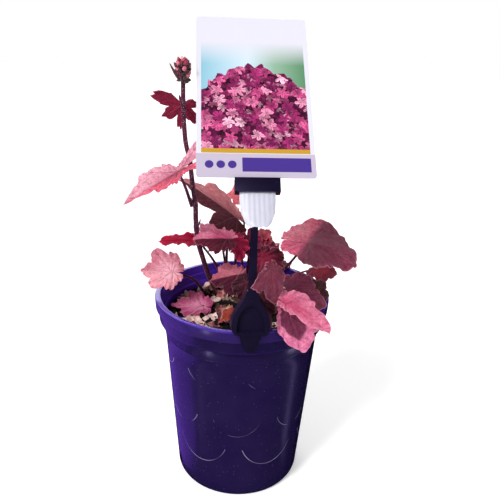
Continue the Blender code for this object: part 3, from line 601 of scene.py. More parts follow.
def leaf_finish(name, tint, vein_pitch, roughness, sheen, vein_colour, vein_lift, veil):
    """Living heuchera leaf: a downy skin over a net of veins. The eye sees a soft bloom of light at
    grazing angles, quilting between side veins about 5 mm apart, a fine net and mottled pigment.
    The leaf map holds centimetres from the nearest lobe's vein and along it."""
    material, tree = new_material(
        name, Roughness=roughness, IOR=1.45, Specular_IOR_Level=0.35, Sheen_Weight=sheen,
        Sheen_Roughness=0.45, Sheen_Tint="#ffd8e0", Subsurface_Weight=0.08,
        Subsurface_Radius=(1.0, 0.25, 0.3), Subsurface_Scale=0.0015)
    base = add_node(tree, "Attribute", attribute_name=tint)
    share = add_node(tree, "Attribute", attribute_name="share").outputs["Fac"]
    flat = add_node(tree, "UVMap", uv_map="leaf")
    wobble = add_node(tree, "TexNoise", flat, Scale=3.0, Detail=2).outputs["Color"]
    shift = add_node(tree, "VectorMath", wobble, (0.5, 0.5, 0.5), operation="SUBTRACT")
    moved = add_node(tree, "VectorMath", shift, (0.12, 0.2, 0), flat, operation="MULTIPLY_ADD")
    across, along, _ = add_node(tree, "SeparateXYZ", moved).outputs
    side = add_node(tree, "Math", across, operation="ABSOLUTE")
    width = add_node(tree, "MapRange", share, 0, 1, 0.055, 0.018)
    main = add_node(tree, "MapRange", side, width, 0.0, interpolation_type="SMOOTHSTEP")
    slant = add_node(tree, "Math", side, -1.15, along, operation="MULTIPLY_ADD")
    stripe = add_node(tree, "Math", slant, vein_pitch * 100, operation="DIVIDE")
    fold = add_node(tree, "Math", stripe, 0.5, operation="PINGPONG")
    second = add_node(tree, "MapRange", fold, 0.055, 0.0, interpolation_type="SMOOTHSTEP")
    cells = add_node(tree, "TexVoronoi", flat, Scale=5.5, feature="DISTANCE_TO_EDGE")
    net = add_node(tree, "MapRange", cells, 0.07, 0.0, interpolation_type="SMOOTHSTEP")
    big = add_node(tree, "Math", second, 0.6, operation="MULTIPLY")
    veins = add_node(tree, "Math", main, big, operation="MAXIMUM")
    mottle = add_node(tree, "TexNoise", flat, Scale=1.9, Detail=6, Roughness=0.8)
    lighter = add_node(tree, "HueSaturation", Value=1.4, Saturation=1.02, Color=base)
    darker = add_node(tree, "HueSaturation", Value=0.7, Saturation=1.25, Color=base)
    spread = add_node(tree, "MapRange", mottle, 0.36, 0.64)
    skin = add_node(tree, "Mix", spread, darker, lighter, data_type="RGBA")
    netted = add_node(tree, "Math", net, 0.35, operation="MULTIPLY")
    quilted = add_node(tree, "Mix", netted, skin, darker, data_type="RGBA")
    vein_share = add_node(tree, "Math", veins, veil, operation="MULTIPLY")
    veined = add_node(tree, "Mix", vein_share, quilted, vein_colour, data_type="RGBA")
    # painted highlight: a thin pale pink line along the margin stands for light catching the leaf's edge
    rim = add_node(tree, "MapRange", share, 0.965, 0.99, 0, 0.35)
    edge_highlighted = add_node(tree, "Mix", rim, veined, "#f0a0b4", data_type="RGBA")
    down = add_node(tree, "TexNoise", flat, Scale=26, Detail=3)
    height = add_node(tree, "Math", veins, vein_lift, down, operation="MULTIPLY_ADD")
    pillow = add_node(tree, "Math", net, vein_lift * 0.35, height, operation="MULTIPLY_ADD")
    bump = add_node(tree, "Bump", Height=pillow, Distance=0.0004, Strength=0.9)
    return shaded(material, Base_Color=edge_highlighted, Normal=bump)


def stalk_finish(name, colour, pale, hairs):
    """Living stalk: waxy skin under short pale hairs, seen as tiny light specks and a soft edge."""
    material, tree = new_material(
        name, Roughness=0.45, IOR=1.45, Specular_IOR_Level=0.4, Sheen_Weight=0.25, Sheen_Roughness=0.4,
        Sheen_Tint="#ffc8d8")
    place = add_node(tree, "TexCoord").outputs["Object"]
    specks = add_node(tree, "TexVoronoi", place, Scale=900)
    hair = add_node(tree, "MapRange", specks, 0.22, 0.1, 0, hairs)
    cloud = add_node(tree, "TexNoise", place, Scale=120, Detail=3)
    bright = add_node(tree, "MapRange", cloud, 0.3, 0.7, 0.6, 1.5)
    skin = add_node(tree, "HueSaturation", Color=colour, Value=bright)
    tint = add_node(tree, "Mix", hair, skin, pale, data_type="RGBA")
    relief = add_node(tree, "Bump", Height=cloud, Distance=0.0004, Strength=0.6)
    return shaded(material, Base_Color=tint, Normal=relief)


def leaf_finishes(settings):
    """Upper side, underside and stalk, made once and shared."""
    names = ("leaf_upper_downy", "leaf_under_smooth", "leaf_stalk_downy")
    if names[0] not in bpy.data.materials:
        pitch, sheen = settings.vein_pitch, settings.sheen
        leaf_finish(names[0], "tint", pitch, 0.42, sheen, "#d8909c", -2.6, 0.22)
        leaf_finish(names[1], "under_tint", pitch, 0.5, sheen * 0.3, "#e05070", 2.5, 0.35)
        stalk_finish(names[2], "#4a0f2e", "#b07088", 0.72)
    return [bpy.data.materials[name] for name in names]


def toned_finish(name, stops, roughness, grain, relief, sheen=0.0):
    """Small natural scraps of one kind, each with its own tone along a run of colours."""
    material, tree = new_material(name, Roughness=roughness, Sheen_Weight=sheen, Specular_IOR_Level=0.3)
    place = add_node(tree, "TexCoord").outputs["Object"]
    tone = add_node(tree, "Attribute", attribute_name="tone").outputs["Fac"]
    cloud = add_node(tree, "TexNoise", place, Scale=grain, Detail=4, Roughness=0.65)
    spread = add_node(tree, "MapRange", cloud, 0.3, 0.7, -0.18, 0.18)
    mixed = add_node(tree, "Math", tone, spread, operation="ADD")
    ramp = add_node(tree, "ValToRGB", mixed, stops=stops)
    bump = add_node(tree, "Bump", Height=cloud, Distance=relief, Strength=0.8)
    return shaded(material, Base_Color=ramp, Normal=bump)


# Settings
def colour_setting(name, description, colour):
    return FloatVectorProperty(name=name, description=description, subtype="COLOR",
                               default=to_linear(colour), min=0, max=1)


def length_setting(name, description, default, low, high):
    return FloatProperty(name=name, description=description, unit="LENGTH", default=default, min=low,
                         max=high, precision=4)


def share_setting(name, description, default):
    return FloatProperty(name=name, description=description, subtype="FACTOR", default=default, min=0, max=1)


def light_setting(name, description, default):
    return FloatProperty(name=name, description=description, default=default, min=0)


def count_setting(name, description, default, low, high):
    return IntProperty(name=name, description=description, default=default, min=low, max=high)


class PotSettings(bpy.types.PropertyGroup):
    """Sizes and colours of the pot."""
    steps: count_setting("Steps", "Flat steps round the pot", 160, 48, 400)
    wall_colour: colour_setting("Plastic", "Colour of the dyed plastic", "#160936")
    # painted light: the lip's lighter colour is a painted reflection of light, not a colour of the plastic
    lip_painted_light_colour: colour_setting("Lip", "Colour of the thinner lip, which lets light through", "#2c1a58")
    # painted glow and highlight: a lighter violet for the inside above the mix and for the lip's top
    inner_and_top_painted_light_colour: colour_setting("Inside", "Colour of the wall inside, above the mix", "#4a2aa8")
    roughness: share_setting("Roughness", "How matt the plastic is", 0.22)


class MixSettings(bpy.types.PropertyGroup):
    """Sizes of the potting mix."""
    chips: count_setting("Bark chips", "Number of bark chips", 230, 0, 600)
    chip_length: length_setting("Chip length", "Length of the longest chips", 0.011, 0.002, 0.03)
    scraps: count_setting("Leaf scraps", "Number of dead leaf scraps", 130, 1, 300)


class LeafSettings(bpy.types.PropertyGroup):
    """Sizes and finish of the leaves."""
    pitch: length_setting("Mesh pitch", "Distance between points of a blade", 0.0011, 0.0005, 0.004)
    thickness: length_setting("Thickness", "Thickness of a blade", 0.0005, 0.0002, 0.0008)
    vein_pitch: length_setting("Vein spacing", "Distance between side veins", 0.0055, 0.002, 0.02)
    ruffle: length_setting("Ruffle", "How far the margin waves up and down", 0.0009, 0, 0.003)
    sheen: share_setting("Down", "Strength of the velvety bloom", 0.1)


class StemSettings(bpy.types.PropertyGroup):
    """Sizes of the flowering stem's buds."""
    buds: count_setting("Buds", "Number of buds in the head", 54, 8, 120)
    bud_length: length_setting("Bud length", "Length of a bud", 0.0042, 0.002, 0.01)


class LabelSettings(bpy.types.PropertyGroup):
    """Colours of the plant label and its clip."""
    card_colour: colour_setting("Card", "Colour of the bare card", "#d8d7e2")
    band_colour: colour_setting("Band", "Colour of the band at the foot", "#46308a")
    clip_colour: colour_setting("Clip plastic", "Colour of the clip", "#0d0720")


class StageSettings(bpy.types.PropertyGroup):
    """Floor and light."""
    floor_colour: colour_setting("Floor", "Colour of the floor", "#f4f4f6")
    key_power: light_setting("Key light", "Strength of the key light", 2.6)
    fill_power: light_setting("Fill light", "Strength of the fill light", 0.4)
    back_power: light_setting("Back light", "Strength of the back light", 1.4)
    gloss: light_setting("Reflectors", "Brightness of the cards that the gloss shows", 2.5)
    sky: light_setting("Sky", "Strength of the even light all round", 0.5)
    glow: light_setting("Floor glow", "Light that the floor gives off, as a light table does", 0.3)


# Pot
def wall_radius(height):
    """Outer radius of the tapered wall."""
    top = POT_HEIGHT - LIP_HEIGHT - BAND_HEIGHT
    return BASE_RADIUS + (WALL_TOP_RADIUS - BASE_RADIUS) * height / top


def inner_radius(height):
    return wall_radius(height) - WALL


def pot_profile():
    """Radius and height of each ring, from the floor up inside and down again outside."""
    lip_low = POT_HEIGHT - LIP_HEIGHT
    band_low = lip_low - BAND_HEIGHT
    bead = POT_HEIGHT - BEAD_DROP
    shelf = inner_radius(150)
    inside = [
        (inner_radius(FLOOR) - 3, FLOOR), (inner_radius(6), 6), (shelf, 150), (shelf + 0.2, 157.4),
        (shelf + 0.8, 158), (shelf + 1.8, 158.8), (LIP_INNER_RADIUS - 1.9, 164.9),
        (LIP_INNER_RADIUS - 1.0, 165.6), (LIP_INNER_RADIUS - 0.8, 166.4),
        (LIP_INNER_RADIUS, POT_HEIGHT - 0.6), (LIP_INNER_RADIUS + 0.2, POT_HEIGHT - 0.15),
        (LIP_INNER_RADIUS + 0.6, POT_HEIGHT),
    ]
    lip = [
        (LIP_RADIUS - 1.0, POT_HEIGHT), (LIP_RADIUS - 0.35, POT_HEIGHT - 0.3), (LIP_RADIUS, POT_HEIGHT - 1.0),
        (LIP_RADIUS - 0.5, lip_low + 0.7), (LIP_RADIUS - 0.8, lip_low + 0.15), (LIP_RADIUS - 1.3, lip_low),
        (BAND_RADIUS + 0.3, lip_low - 0.1), (BAND_RADIUS, lip_low - 0.6),
        (BAND_RADIUS - 0.9, band_low + 0.8), (BAND_RADIUS - 1.2, band_low + 0.2),
        (BAND_RADIUS - 1.8, band_low), (wall_radius(band_low) + 0.7, band_low - 0.1),
        (wall_radius(band_low) + 0.1, band_low - 0.7), (wall_radius(bead + 1.2), bead + 1.2),
        (wall_radius(bead) + 0.35, bead + 0.4), (wall_radius(bead) + 0.35, bead - 0.4),
    ]
    wall = [(wall_radius(height), height) for height in np.linspace(bead - 1.2, BASE_CORNER + 1, 14)]
    base = [
        (BASE_RADIUS - 0.2, BASE_CORNER - 0.8), (BASE_RADIUS - 0.9, 0.9), (BASE_RADIUS - 1.8, 0.25),
        (BASE_RADIUS - BASE_CORNER, 0),
    ]
    return inside + lip + wall + base


class HEUCHERA_OT_pot(bpy.types.Operator):
    """Make the nursery pot with its stepped lip, drainage slots and ribbed lug"""
    bl_idname = "heuchera.make_pot"
    bl_label = "Pot"

    def execute(self, context):
        settings = context.scene.heuchera_pot
        pot = turned("nursery_pot", pot_profile(), settings.steps)
        for index in range(SLOT_COUNT):
            angle = math.tau * (index + 0.5) / SLOT_COUNT
            if math.sin(angle) < -0.9:  # the front of the pot shows none
                continue
            turn = Matrix.Rotation(angle, 4, "Z")
            place = turn @ Vector((BASE_RADIUS, 0, FLOOR + 0.8 + SLOT_HEIGHT / 2 - 1))
            slot = block("slot", (12, SLOT_WIDTH, SLOT_HEIGHT - 2), place, turn, 1.5, 4)
            cut_or_add(pot, slot, "DIFFERENCE")
        lug_top = POT_HEIGHT - 2
        lug_y = LIP_INNER_RADIUS - 1.2
        lug = [block("lug", (LUG_WIDTH, 3, 16), (0, lug_y, lug_top - 8), rounding=0.5)]
        for index in range(LUG_RIBS):
            place = (0, lug_y - 1.7, lug_top - 1.6 - LUG_RIB_PITCH * index)
            lug.append(block("rib", (LUG_WIDTH - 1.6, 1.3, 1.1), place, rounding=0.3))
        pot = dressed(joined([pot, *lug]), pot_polypropylene(settings))
        return handed_over(pot, "pot", 28)


# Potting mix
def mix_height(x, y):
    """Height of the mix at a place."""
    rise = noise.noise(Vector((x / MIX_GRAIN, y / MIX_GRAIN, 0.7)))
    return MIX_TOP + MIX_ROUGHNESS * rise - MIX_SINK * (math.hypot(x, y) / 66) ** 4


def strewn(chance, x, y, lift, tilt, roll):
    """A place on the mix, turned at random."""
    turn = (Matrix.Rotation(chance.uniform(0, math.tau), 4, "Z")
            @ Matrix.Rotation(chance.gauss(0, tilt), 4, "X") @ Matrix.Rotation(chance.gauss(0, roll), 4, "Y"))
    return Matrix.Translation((x * MM, y * MM, (mix_height(x, y) + lift) * MM)) @ turn


def bark_masters(chance):
    """Six bark chips a metre long, scaled down where they lie: bevelled cubes, pushed out of true."""
    masters = []
    for index in range(6):
        chip = block("bark_chip", (METRE, 480 + 60 * index, 300 - 20 * index))
        modified(chip, "BEVEL", width=0.12, segments=1, limit_method="NONE")
        points = points_of(chip)
        for point in points:
            point *= [1 + chance.uniform(-wide, wide) for wide in (0.22, 0.25, 0.3)]
            point[2] += 120 * math.sin(3 * point[0] / METRE + index)
        place_points(chip, points)
        masters.append(chip)
    return masters


def scrap_masters(chance):
    """Four curled scraps of dead leaf a metre long, thin sheets with torn edges."""
    masters = []
    for index in range(4):
        scrap = sheet("leaf_scrap", 5, 4)
        points = points_of(scrap) / METRE
        for point in points:
            far = math.hypot(point[0], point[1])
            point[:2] *= (1 - 0.45 * max(0, far - 0.4) + chance.uniform(-0.14, 0.14)) * np.array((1, 0.7))
            curl = 0.9 * point[1] ** 2 + 0.5 * point[0] ** 2 * math.sin(index)
            point[2] = curl + chance.uniform(-0.06, 0.06)
        place_points(scrap, points * METRE)
        masters.append(modified(scrap, "SOLIDIFY", thickness=0.05, offset=0))
    return masters


def scattered(masters, spots):
    """Copies of the masters, each with its own mesh, at (matrix, tone), joined in one."""
    copies = []
    for index, (matrix, tone) in enumerate(spots):
        master = masters[index % len(masters)]
        copy = bpy.data.objects.new(master.name, master.data.copy())
        bpy.context.scene.collection.objects.link(copy)
        copy.data.transform(matrix)
        add_number(copy.data, "tone", tone)
        copies.append(copy)
    piece = joined(copies)
    for master in masters:
        bpy.data.objects.remove(master, do_unlink=True)
    return piece


class HEUCHERA_OT_potting_mix(bpy.types.Operator):
    """Make the potting mix, its bark chips and the litter on it"""
    bl_idname = "heuchera.make_potting_mix"
    bl_label = "Potting mix"

    def execute(self, context):
        settings = context.scene.heuchera_mix
        edge = inner_radius(150) - 0.5
        profile = [(inner_radius(FLOOR) - 3.4, FLOOR + 0.3), (inner_radius(6) - 0.5, 6.2),
                   (edge, MIX_TOP - 1.2)]
        profile += [(edge * (1 - ring / MIX_RINGS) + 0.4, MIX_TOP) for ring in range(MIX_RINGS)]
        mix = turned("bark_and_peat", profile, 150)
        points = points_of(mix)
        for point in points:
            if point[2] > MIX_TOP - 0.5:
                fine = [amount * noise.noise(Vector((point[0] / size, point[1] / size, 3.1)))
                        for size, amount in ((5.0, 1.1), (2.4, 0.8))]
                point[2] = mix_height(point[0], point[1]) + sum(fine)
        place_points(mix, points)
        add_number(mix.data, "tone", 0.12)
        chance = random.Random(11)
        spots = []
        while len(spots) < settings.chips:
            x, y = chance.uniform(-63, 63), chance.uniform(-63, 63)
            if math.hypot(x, y) > STREWN_RADIUS:
                continue
            size = settings.chip_length * (0.3 + 0.7 * chance.random() ** 2)
            place = strewn(chance, x, y, 0.5, 0.35, 0.25)
            spots.append((place @ Matrix.Scale(size, 4), chance.random() ** 1.6))
        mix = dressed(joined([mix, scattered(bark_masters(chance), spots)]), toned_finish(
            "bark_and_peat_damp",
            {0: "#0a0608", 0.3: "#1a0e10", 0.6: "#3a2420", 0.85: "#6e5244", 1: "#b8a48c"}, 0.85, 500, 0.0006))
        spots = []
        for _ in range(settings.scraps):
            far, angle = STREWN_RADIUS * math.sqrt(chance.uniform(0.12, 1)), chance.uniform(0, math.tau)
            place = strewn(chance, far * math.cos(angle), far * math.sin(angle), 1.6, 0.5, 0.4)
            spots.append((place @ Matrix.Scale(chance.uniform(0.005, 0.014), 4), chance.random()))
        scraps = dressed(scattered(scrap_masters(chance), spots), toned_finish(
            "leaf_scraps_papery",
            {0: "#4a1420", 0.2: "#9a4a50", 0.4: "#e0a8a0", 0.7: "#f2d0c8", 1: "#faf2e4"},
            0.8, 300, 0.0004, 0.1))
        return handed_over(joined([mix, scraps]), "potting_mix", 35)


# Leaves
def edge_share(angle, leaf):
    """Distance from the stalk to the margin at an angle from the tip, as a share of the size."""
    step = leaf["step"]
    lobe = 1 - leaf["notch"] * (1 - np.abs(np.cos(np.pi * angle / step)) ** leaf["point"])
    drift = angle + 0.12 * step * np.sin(3.7 * angle + leaf["size"])
    tooth = 1 - leaf["tooth"] * (1 - np.abs(np.cos(np.pi * drift * leaf["teeth"] / step)))
    fine = 1 - 0.4 * leaf["tooth"] * (1 - np.abs(np.cos(np.pi * (drift + 0.2) * leaf["teeth"] * 1.9 / step)))
    share = lobe * tooth * fine * (1 - leaf["back"] * (np.abs(angle) / leaf["span"]) ** 1.6)
    if leaf["reach"]:
        last = leaf["span"] - step / 2
        share = share * np.interp(angle, np.linspace(-last, last, len(leaf["reach"])), leaf["reach"])
    return share


def blade_points(share, angle, leaf, ruffle):
    """Points of the blade, along its midrib, across it and up from its face."""
    size, step = leaf["size"], leaf["step"]
    radius = share * edge_share(angle, leaf)
    along = radius * np.cos(angle) * size
    across = radius * np.sin(angle) * size
    soft = 0.06 * size
    reach = np.hypot(across, soft) - soft
    fold = np.radians(np.where(across > 0, *leaf["fold"]))
    up = reach * np.sin(fold) - leaf["cup"] * size * radius ** 2
    up += leaf["wave"] * size * radius ** 2 * np.sin(leaf["waves"] * angle + leaf["phase"])
    # ruffles of the margin, coarse and fine, then dimples all over
    seed = size * 0.7 + leaf["phase"]
    frill = ruffle * leaf["frill"]
    up += frill * share ** 4 * np.sin(leaf["lobes"] * 2.9 * angle + seed)
    up += frill * 0.5 * share ** 6 * np.sin(leaf["lobes"] * 6.7 * angle + 2 * seed)
    up += 0.35 * leaf["frill"] * share * np.sin(11 * share + 7 * angle + seed) * np.sin(9 * angle - seed)
    # a groove over the vein of each lobe
    off = np.mod(angle + step / 2, step) - step / 2
    beside = np.abs(radius * size * np.sin(off))
    up += 0.5 * (1 - np.exp(-(beside / 1.6) ** 2)) * np.clip(share * 6, 0, 1)
    across = np.sign(across) * reach * np.cos(fold)
    bend = math.radians(leaf["curl"])
    if bend:
        turn = size / bend
        along, up = ((turn + up) * np.sin(bend * along / size),
                     (turn + up) * np.cos(bend * along / size) - turn)
    return np.stack([along, across, up], 1)


def leaf_axes(leaf):
    """Directions along the midrib, across it and up from the face."""
    tip = Vector(leaf["tip"]).normalized()
    face = Vector(leaf["face"])
    face = (face - face.dot(tip) * tip).normalized()
    return np.array([tip, face.cross(tip), face])


def stepped(low, high, value):
    """A smooth step from 0 at low to 1 at high."""
    t = np.clip((value - low) / (high - low), 0, 1)
    return t * t * (3 - 2 * t)


def leaf_tints(share, angle, leaf):
    """Linear colours of the upper side: two halves, each from its middle to its margin, with the painted
    shade and shadow that the table gives some leaves.
    """
    near, far = (np.array([to_linear(c) for c in leaf[half] or leaf["near"]]) for half in ("near", "far"))
    radius = share * edge_share(angle, leaf)
    outwards = stepped(*leaf["blend"], share)[:, None]
    # painted shadow: a straight border line across the blade, where the colours change from lit pink to the
    # mauve of a cast shadow
    if leaf["painted_shadow_border"]:
        outwards = stepped(-0.06, 0.06, radius * np.cos(angle + leaf["painted_shadow_border"]))[:, None]
    side = stepped(-0.05, 0.05, radius * np.sin(angle))[:, None]
    return (side * (near[0] + (near[1] - near[0]) * outwards)
            + (1 - side) * (far[0] + (far[1] - far[0]) * outwards))


def make_blade(name, leaf, settings, floor=None):
    """A grid wrapped round the stalk and shaped, with its map, tints and thickness. With a floor,
    the blade is let down until it touches."""
    pitch = settings.pitch / MM
    span, step, lobes = leaf["span"], leaf["step"], leaf["lobes"]
    rays = lobes * max(18, 2 * round(leaf["size"] * span * 0.85 / pitch / lobes))
    blade = sheet("fine_" + name, max(10, round(leaf["size"] / pitch)), rays)
    mesh = blade.data
    flat = points_of(blade) / METRE
    share = flat[:, 0] + 0.5
    angle = flat[:, 1] * 2 * span
    points = np.array(leaf["at"]) + blade_points(share, angle, leaf, settings.ruffle / MM) @ leaf_axes(leaf)
    if floor:
        points[:, 2] -= min(z - floor(x, y) for x, y, z in points)
    place_points(blade, points)

    corners = corner_points(mesh)
    face_angle = angle[corners].reshape(-1, 4).mean(1)
    lobe = np.clip(np.floor((face_angle + span) / step), 0, lobes - 1)
    off = angle[corners] - np.repeat(step * (lobe + 0.5) - span, 4)
    reach = (share * edge_share(angle, leaf))[corners] * leaf["size"] / 10
    mesh.uv_layers[0].name = "leaf"
    mesh.uv_layers[0].data.foreach_set("uv", np.stack([reach * np.sin(off), reach * np.cos(off)], 1).ravel())
    for title, tints in (("tint", leaf_tints(share, angle, leaf)), ("under_tint", to_linear(leaf["under"]))):
        colours = np.ones((len(share), 4))
        colours[:, :3] = tints
        mesh.attributes.new(title, "FLOAT_COLOR", "POINT").data.foreach_set("color", colours.ravel())
    add_number(mesh, "share", share)
    merged(dressed(blade, *leaf_finishes(settings)), outwards=False)
    return modified(blade, "SOLIDIFY", thickness=settings.thickness, offset=0, use_even_offset=False,
                    material_offset=1, material_offset_rim=0)


def stalk_route(leaf):
    """From the mix or the flowering stem, past one point on the way, to the blade."""
    end = Vector(leaf["at"])
    if "foot" in leaf:
        low = Vector((*leaf["foot"], MIX_TOP - HOLE_DEPTH + 0.5))
        route = [low] + smooth_route([(*leaf["foot"], MIX_TOP + 3), leaf["via"], end], 22)
    else:
        route = smooth_route([leaf["stalk_from"], leaf["via"], end], 16)
    route[-1] = end - (end - route[-2]).normalized() * 0.35
    return route


def completed(leaf):
    """The leaf with every value, and the angle between its lobes."""
    leaf = {**LEAF_DEFAULTS, **leaf}
    return {**leaf, "step": 2 * leaf["span"] / leaf["lobes"]}


def make_leaves(leaves, settings):
    """Each leaf with its stalk."""
    for name, leaf in leaves.items():
        leaf = completed(leaf)
        blade = make_blade(name, leaf, settings)
        route = stalk_route(leaf)
        widest = 1.15 if leaf["size"] > 18 else 0.85
        radii = [widest * (1.25 - 0.4 * i / (len(route) - 1)) for i in range(len(route))]
        stalk = dressed(tube("stalk", route, radii, 2), leaf_finishes(settings)[2])
        handed_over(joined([blade, stalk]), name)
    return {"FINISHED"}


class HEUCHERA_OT_leaves(bpy.types.Operator):
    """Make the leaves that rise from the potting mix, each with its stalk"""
    bl_idname = "heuchera.make_leaves"
    bl_label = "Leaves"

    def execute(self, context):
        return make_leaves(LEAVES, context.scene.heuchera_leaf)


class HEUCHERA_OT_stem_leaves(bpy.types.Operator):
    """Make the two leaves on the flowering stem"""
    bl_idname = "heuchera.make_stem_leaves"
    bl_label = "Stem leaves"

    def execute(self, context):
        return make_leaves(STEM_LEAVES, context.scene.heuchera_leaf)


class HEUCHERA_OT_dry_leaves(bpy.types.Operator):
    """Make the dead leaves that lie on the potting mix"""
    bl_idname = "heuchera.make_dry_leaves"
    bl_label = "Dead leaves"

    def execute(self, context):
        # without a seed of its own, the crumple would differ at each run
        noise.seed_set(CRUMPLE_SEED)
        for name, leaf in DRY_LEAVES.items():
            blade = make_blade(name, completed(leaf), context.scene.heuchera_leaf,
                               lambda x, y: mix_height(x, y) + LYING)
            points = points_of(blade)
            for point in points:
                crumple = noise.noise_vector(Vector(point) * CRUMPLE_GRAIN)
                point += np.array(crumple) * CRUMPLE_DEPTH
            place_points(blade, points)
            handed_over(blade, name)
        return {"FINISHED"}


# Flowering stem and its buds
def make_bract(name, route, width, cup=0.3):
    """A narrow blade along a route, cupped across, with a point at its end."""
    piece = sheet(name, 4, 14)
    line = smooth_route(route, 60)
    points = []
    for x, y, _ in points_of(piece) / METRE:
        share = y + 0.5
        place = share * 58
        i = min(int(place), 57)
        along = (line[i + 1] - line[i]).normalized()
        across = along.cross(UP)
        if across.length < 0.1:
            across = Vector((1, 0, 0))
        across.normalize()
        half = width * math.sin(math.pi * min(1, share * 0.86 + 0.14)) ** 0.7
        points.append(line[i].lerp(line[i + 1], place - i) + across * x * 2 * half
                      + across.cross(along) * cup * half * (4 * x * x))
    place_points(piece, points)
    return modified(piece, "SOLIDIFY", thickness=0.0005, offset=0)


def bud_masters():
    """Three pointed buds a metre long, scaled down where they grow, shaped from spheres."""
    masters = []
    for index in range(3):
        start_clean()
        bpy.ops.mesh.primitive_uv_sphere_add(segments=8, ring_count=6, radius=0.5)
        bud = named("bud")
        points = points_of(bud) / METRE
        for point in points:
            point[2] += 0.5
            point[:2] *= 0.72 * (1.15 - 0.75 * point[2] ** (1.4 + 0.3 * index))
        place_points(bud, points * METRE)
        masters.append(bud)
    return masters


class HEUCHERA_OT_flower_stem(bpy.types.Operator):
    """Make the flowering stem with the small bracts along it"""
    bl_idname = "heuchera.make_flower_stem"
    bl_label = "Flowering stem"

    def execute(self, context):
        route = smooth_route(STEM_ROUTE, 110)
        last = len(route) - 1
        radii = []
        for index in range(len(route)):
            share = index / last
            node = sum(math.exp(-((share - at) / 0.012) ** 2) for at in STEM_NODES)
            radii.append(STEM_FOOT_RADIUS + (STEM_TOP_RADIUS - STEM_FOOT_RADIUS) * share + 0.35 * node)
        parts = [tube("flowering_stem", route, radii, 5)]
        for at, angle, length in ((0.42, 20, 7), (0.55, 200, 6), (0.93, 150, 7)):
            base, out = route[round(at * last)], heading(angle)
            parts.append(make_bract("stem_bract", [base + out * 1.2, base + out * 3 + UP * length * 0.5,
                                                   base + out * 3.6 + UP * length], 1.3))
        stem = dressed(joined(parts), stalk_finish("flowering_stem_hairy", "#4c0e2e", "#dcc0cc", 1.2))
        return handed_over(stem, "flower_stem")


class HEUCHERA_OT_flower_head(bpy.types.Operator):
    """Make the knot of buds at the top of the stem, with its bracts"""
    bl_idname = "heuchera.make_flower_head"
    bl_label = "Flower head"

    def execute(self, context):
        settings = context.scene.heuchera_stem
        foot = Vector(STEM_ROUTE[-1]) + UP * 0.4
        centre = foot + Vector((0.5, 0, 9))
        start_clean()
        bpy.ops.mesh.primitive_ico_sphere_add(subdivisions=4, radius=1)
        core = named("bud_core")
        points = points_of(core) / METRE
        for point in points:
            point *= 1 + 0.22 * noise.noise(Vector(point) * 3.1)
        place_points(core, np.array(centre) + points * (3.7, 3.5, 8.2))
        add_number(core.data, "tone", 0.1)
        chance = random.Random(3)
        spots = []
        for index in range(settings.buds):
            height = 1 - 1.8 * (index + 0.5) / settings.buds
            angle = index * math.radians(137.5)
            ring = math.sqrt(1 - height * height)
            out = Vector((ring * math.cos(angle), ring * math.sin(angle), height))
            wide = 3.0 + 1.2 * out.z + 0.9 * math.sin(2.3 * angle + 5 * height)
            place = centre + Vector((out.x * wide, out.y * wide, out.z * 7.6 - 0.4))
            length = settings.bud_length * chance.uniform(0.75, 1.15)
            turn = (out + UP * 0.6).normalized().to_track_quat("Z", "Y").to_matrix().to_4x4()
            tone = 0.1 + 0.32 * max(0, height) ** 2 + chance.uniform(-0.12, 0.16)
            tone += 0.5 if chance.random() < 0.16 else 0
            spots.append((Matrix.Translation(place * MM) @ turn @ Matrix.Scale(length, 4),
                          min(1, max(0.05, tone))))
        buds = scattered(bud_masters(), spots)
        neck = tube("neck", [foot - UP * 0.3, foot + Vector((0.2, 0, 3)), centre], (1.7, 2.0, 2.6), 2)
        add_number(neck.data, "tone", 0.08)
        parts = [core, buds, neck]
        # each bract: which way it leans, its length, half width and tone
        for angle, length, width, tone in ((190, 13, 2.3, 0.12), (100, 8, 1.2, 0.3), (250, 8, 1.1, 0.2),
                                           (340, 9, 1.8, 0.6)):
            route = [foot + UP * 2 + heading(angle) * length * t * 0.75 + UP * length * t ** 2.2
                     for t in (0, 0.35, 0.7, 1)]
            bract = make_bract("head_bract", route, width, 0.9)
            add_number(bract.data, "tone", tone)
            parts.append(bract)
        head = dressed(joined(parts), toned_finish(
            "flower_bud_soft",
            {0: "#240414", 0.2: "#4c0822", 0.42: "#9a2048", 0.7: "#e07488", 1: "#ffb4a8"},
            0.55, 700, 0.0003, 0.3))
        return handed_over(head, "flower_head")


# Label card and its clip
def card_matrix():
    return (Matrix.Translation(Vector(CARD_FOOT) * MM) @ Matrix.Rotation(math.radians(CARD_TURN), 4, "Z")
            @ Matrix.Rotation(math.radians(90 - CARD_LEAN), 4, "X"))


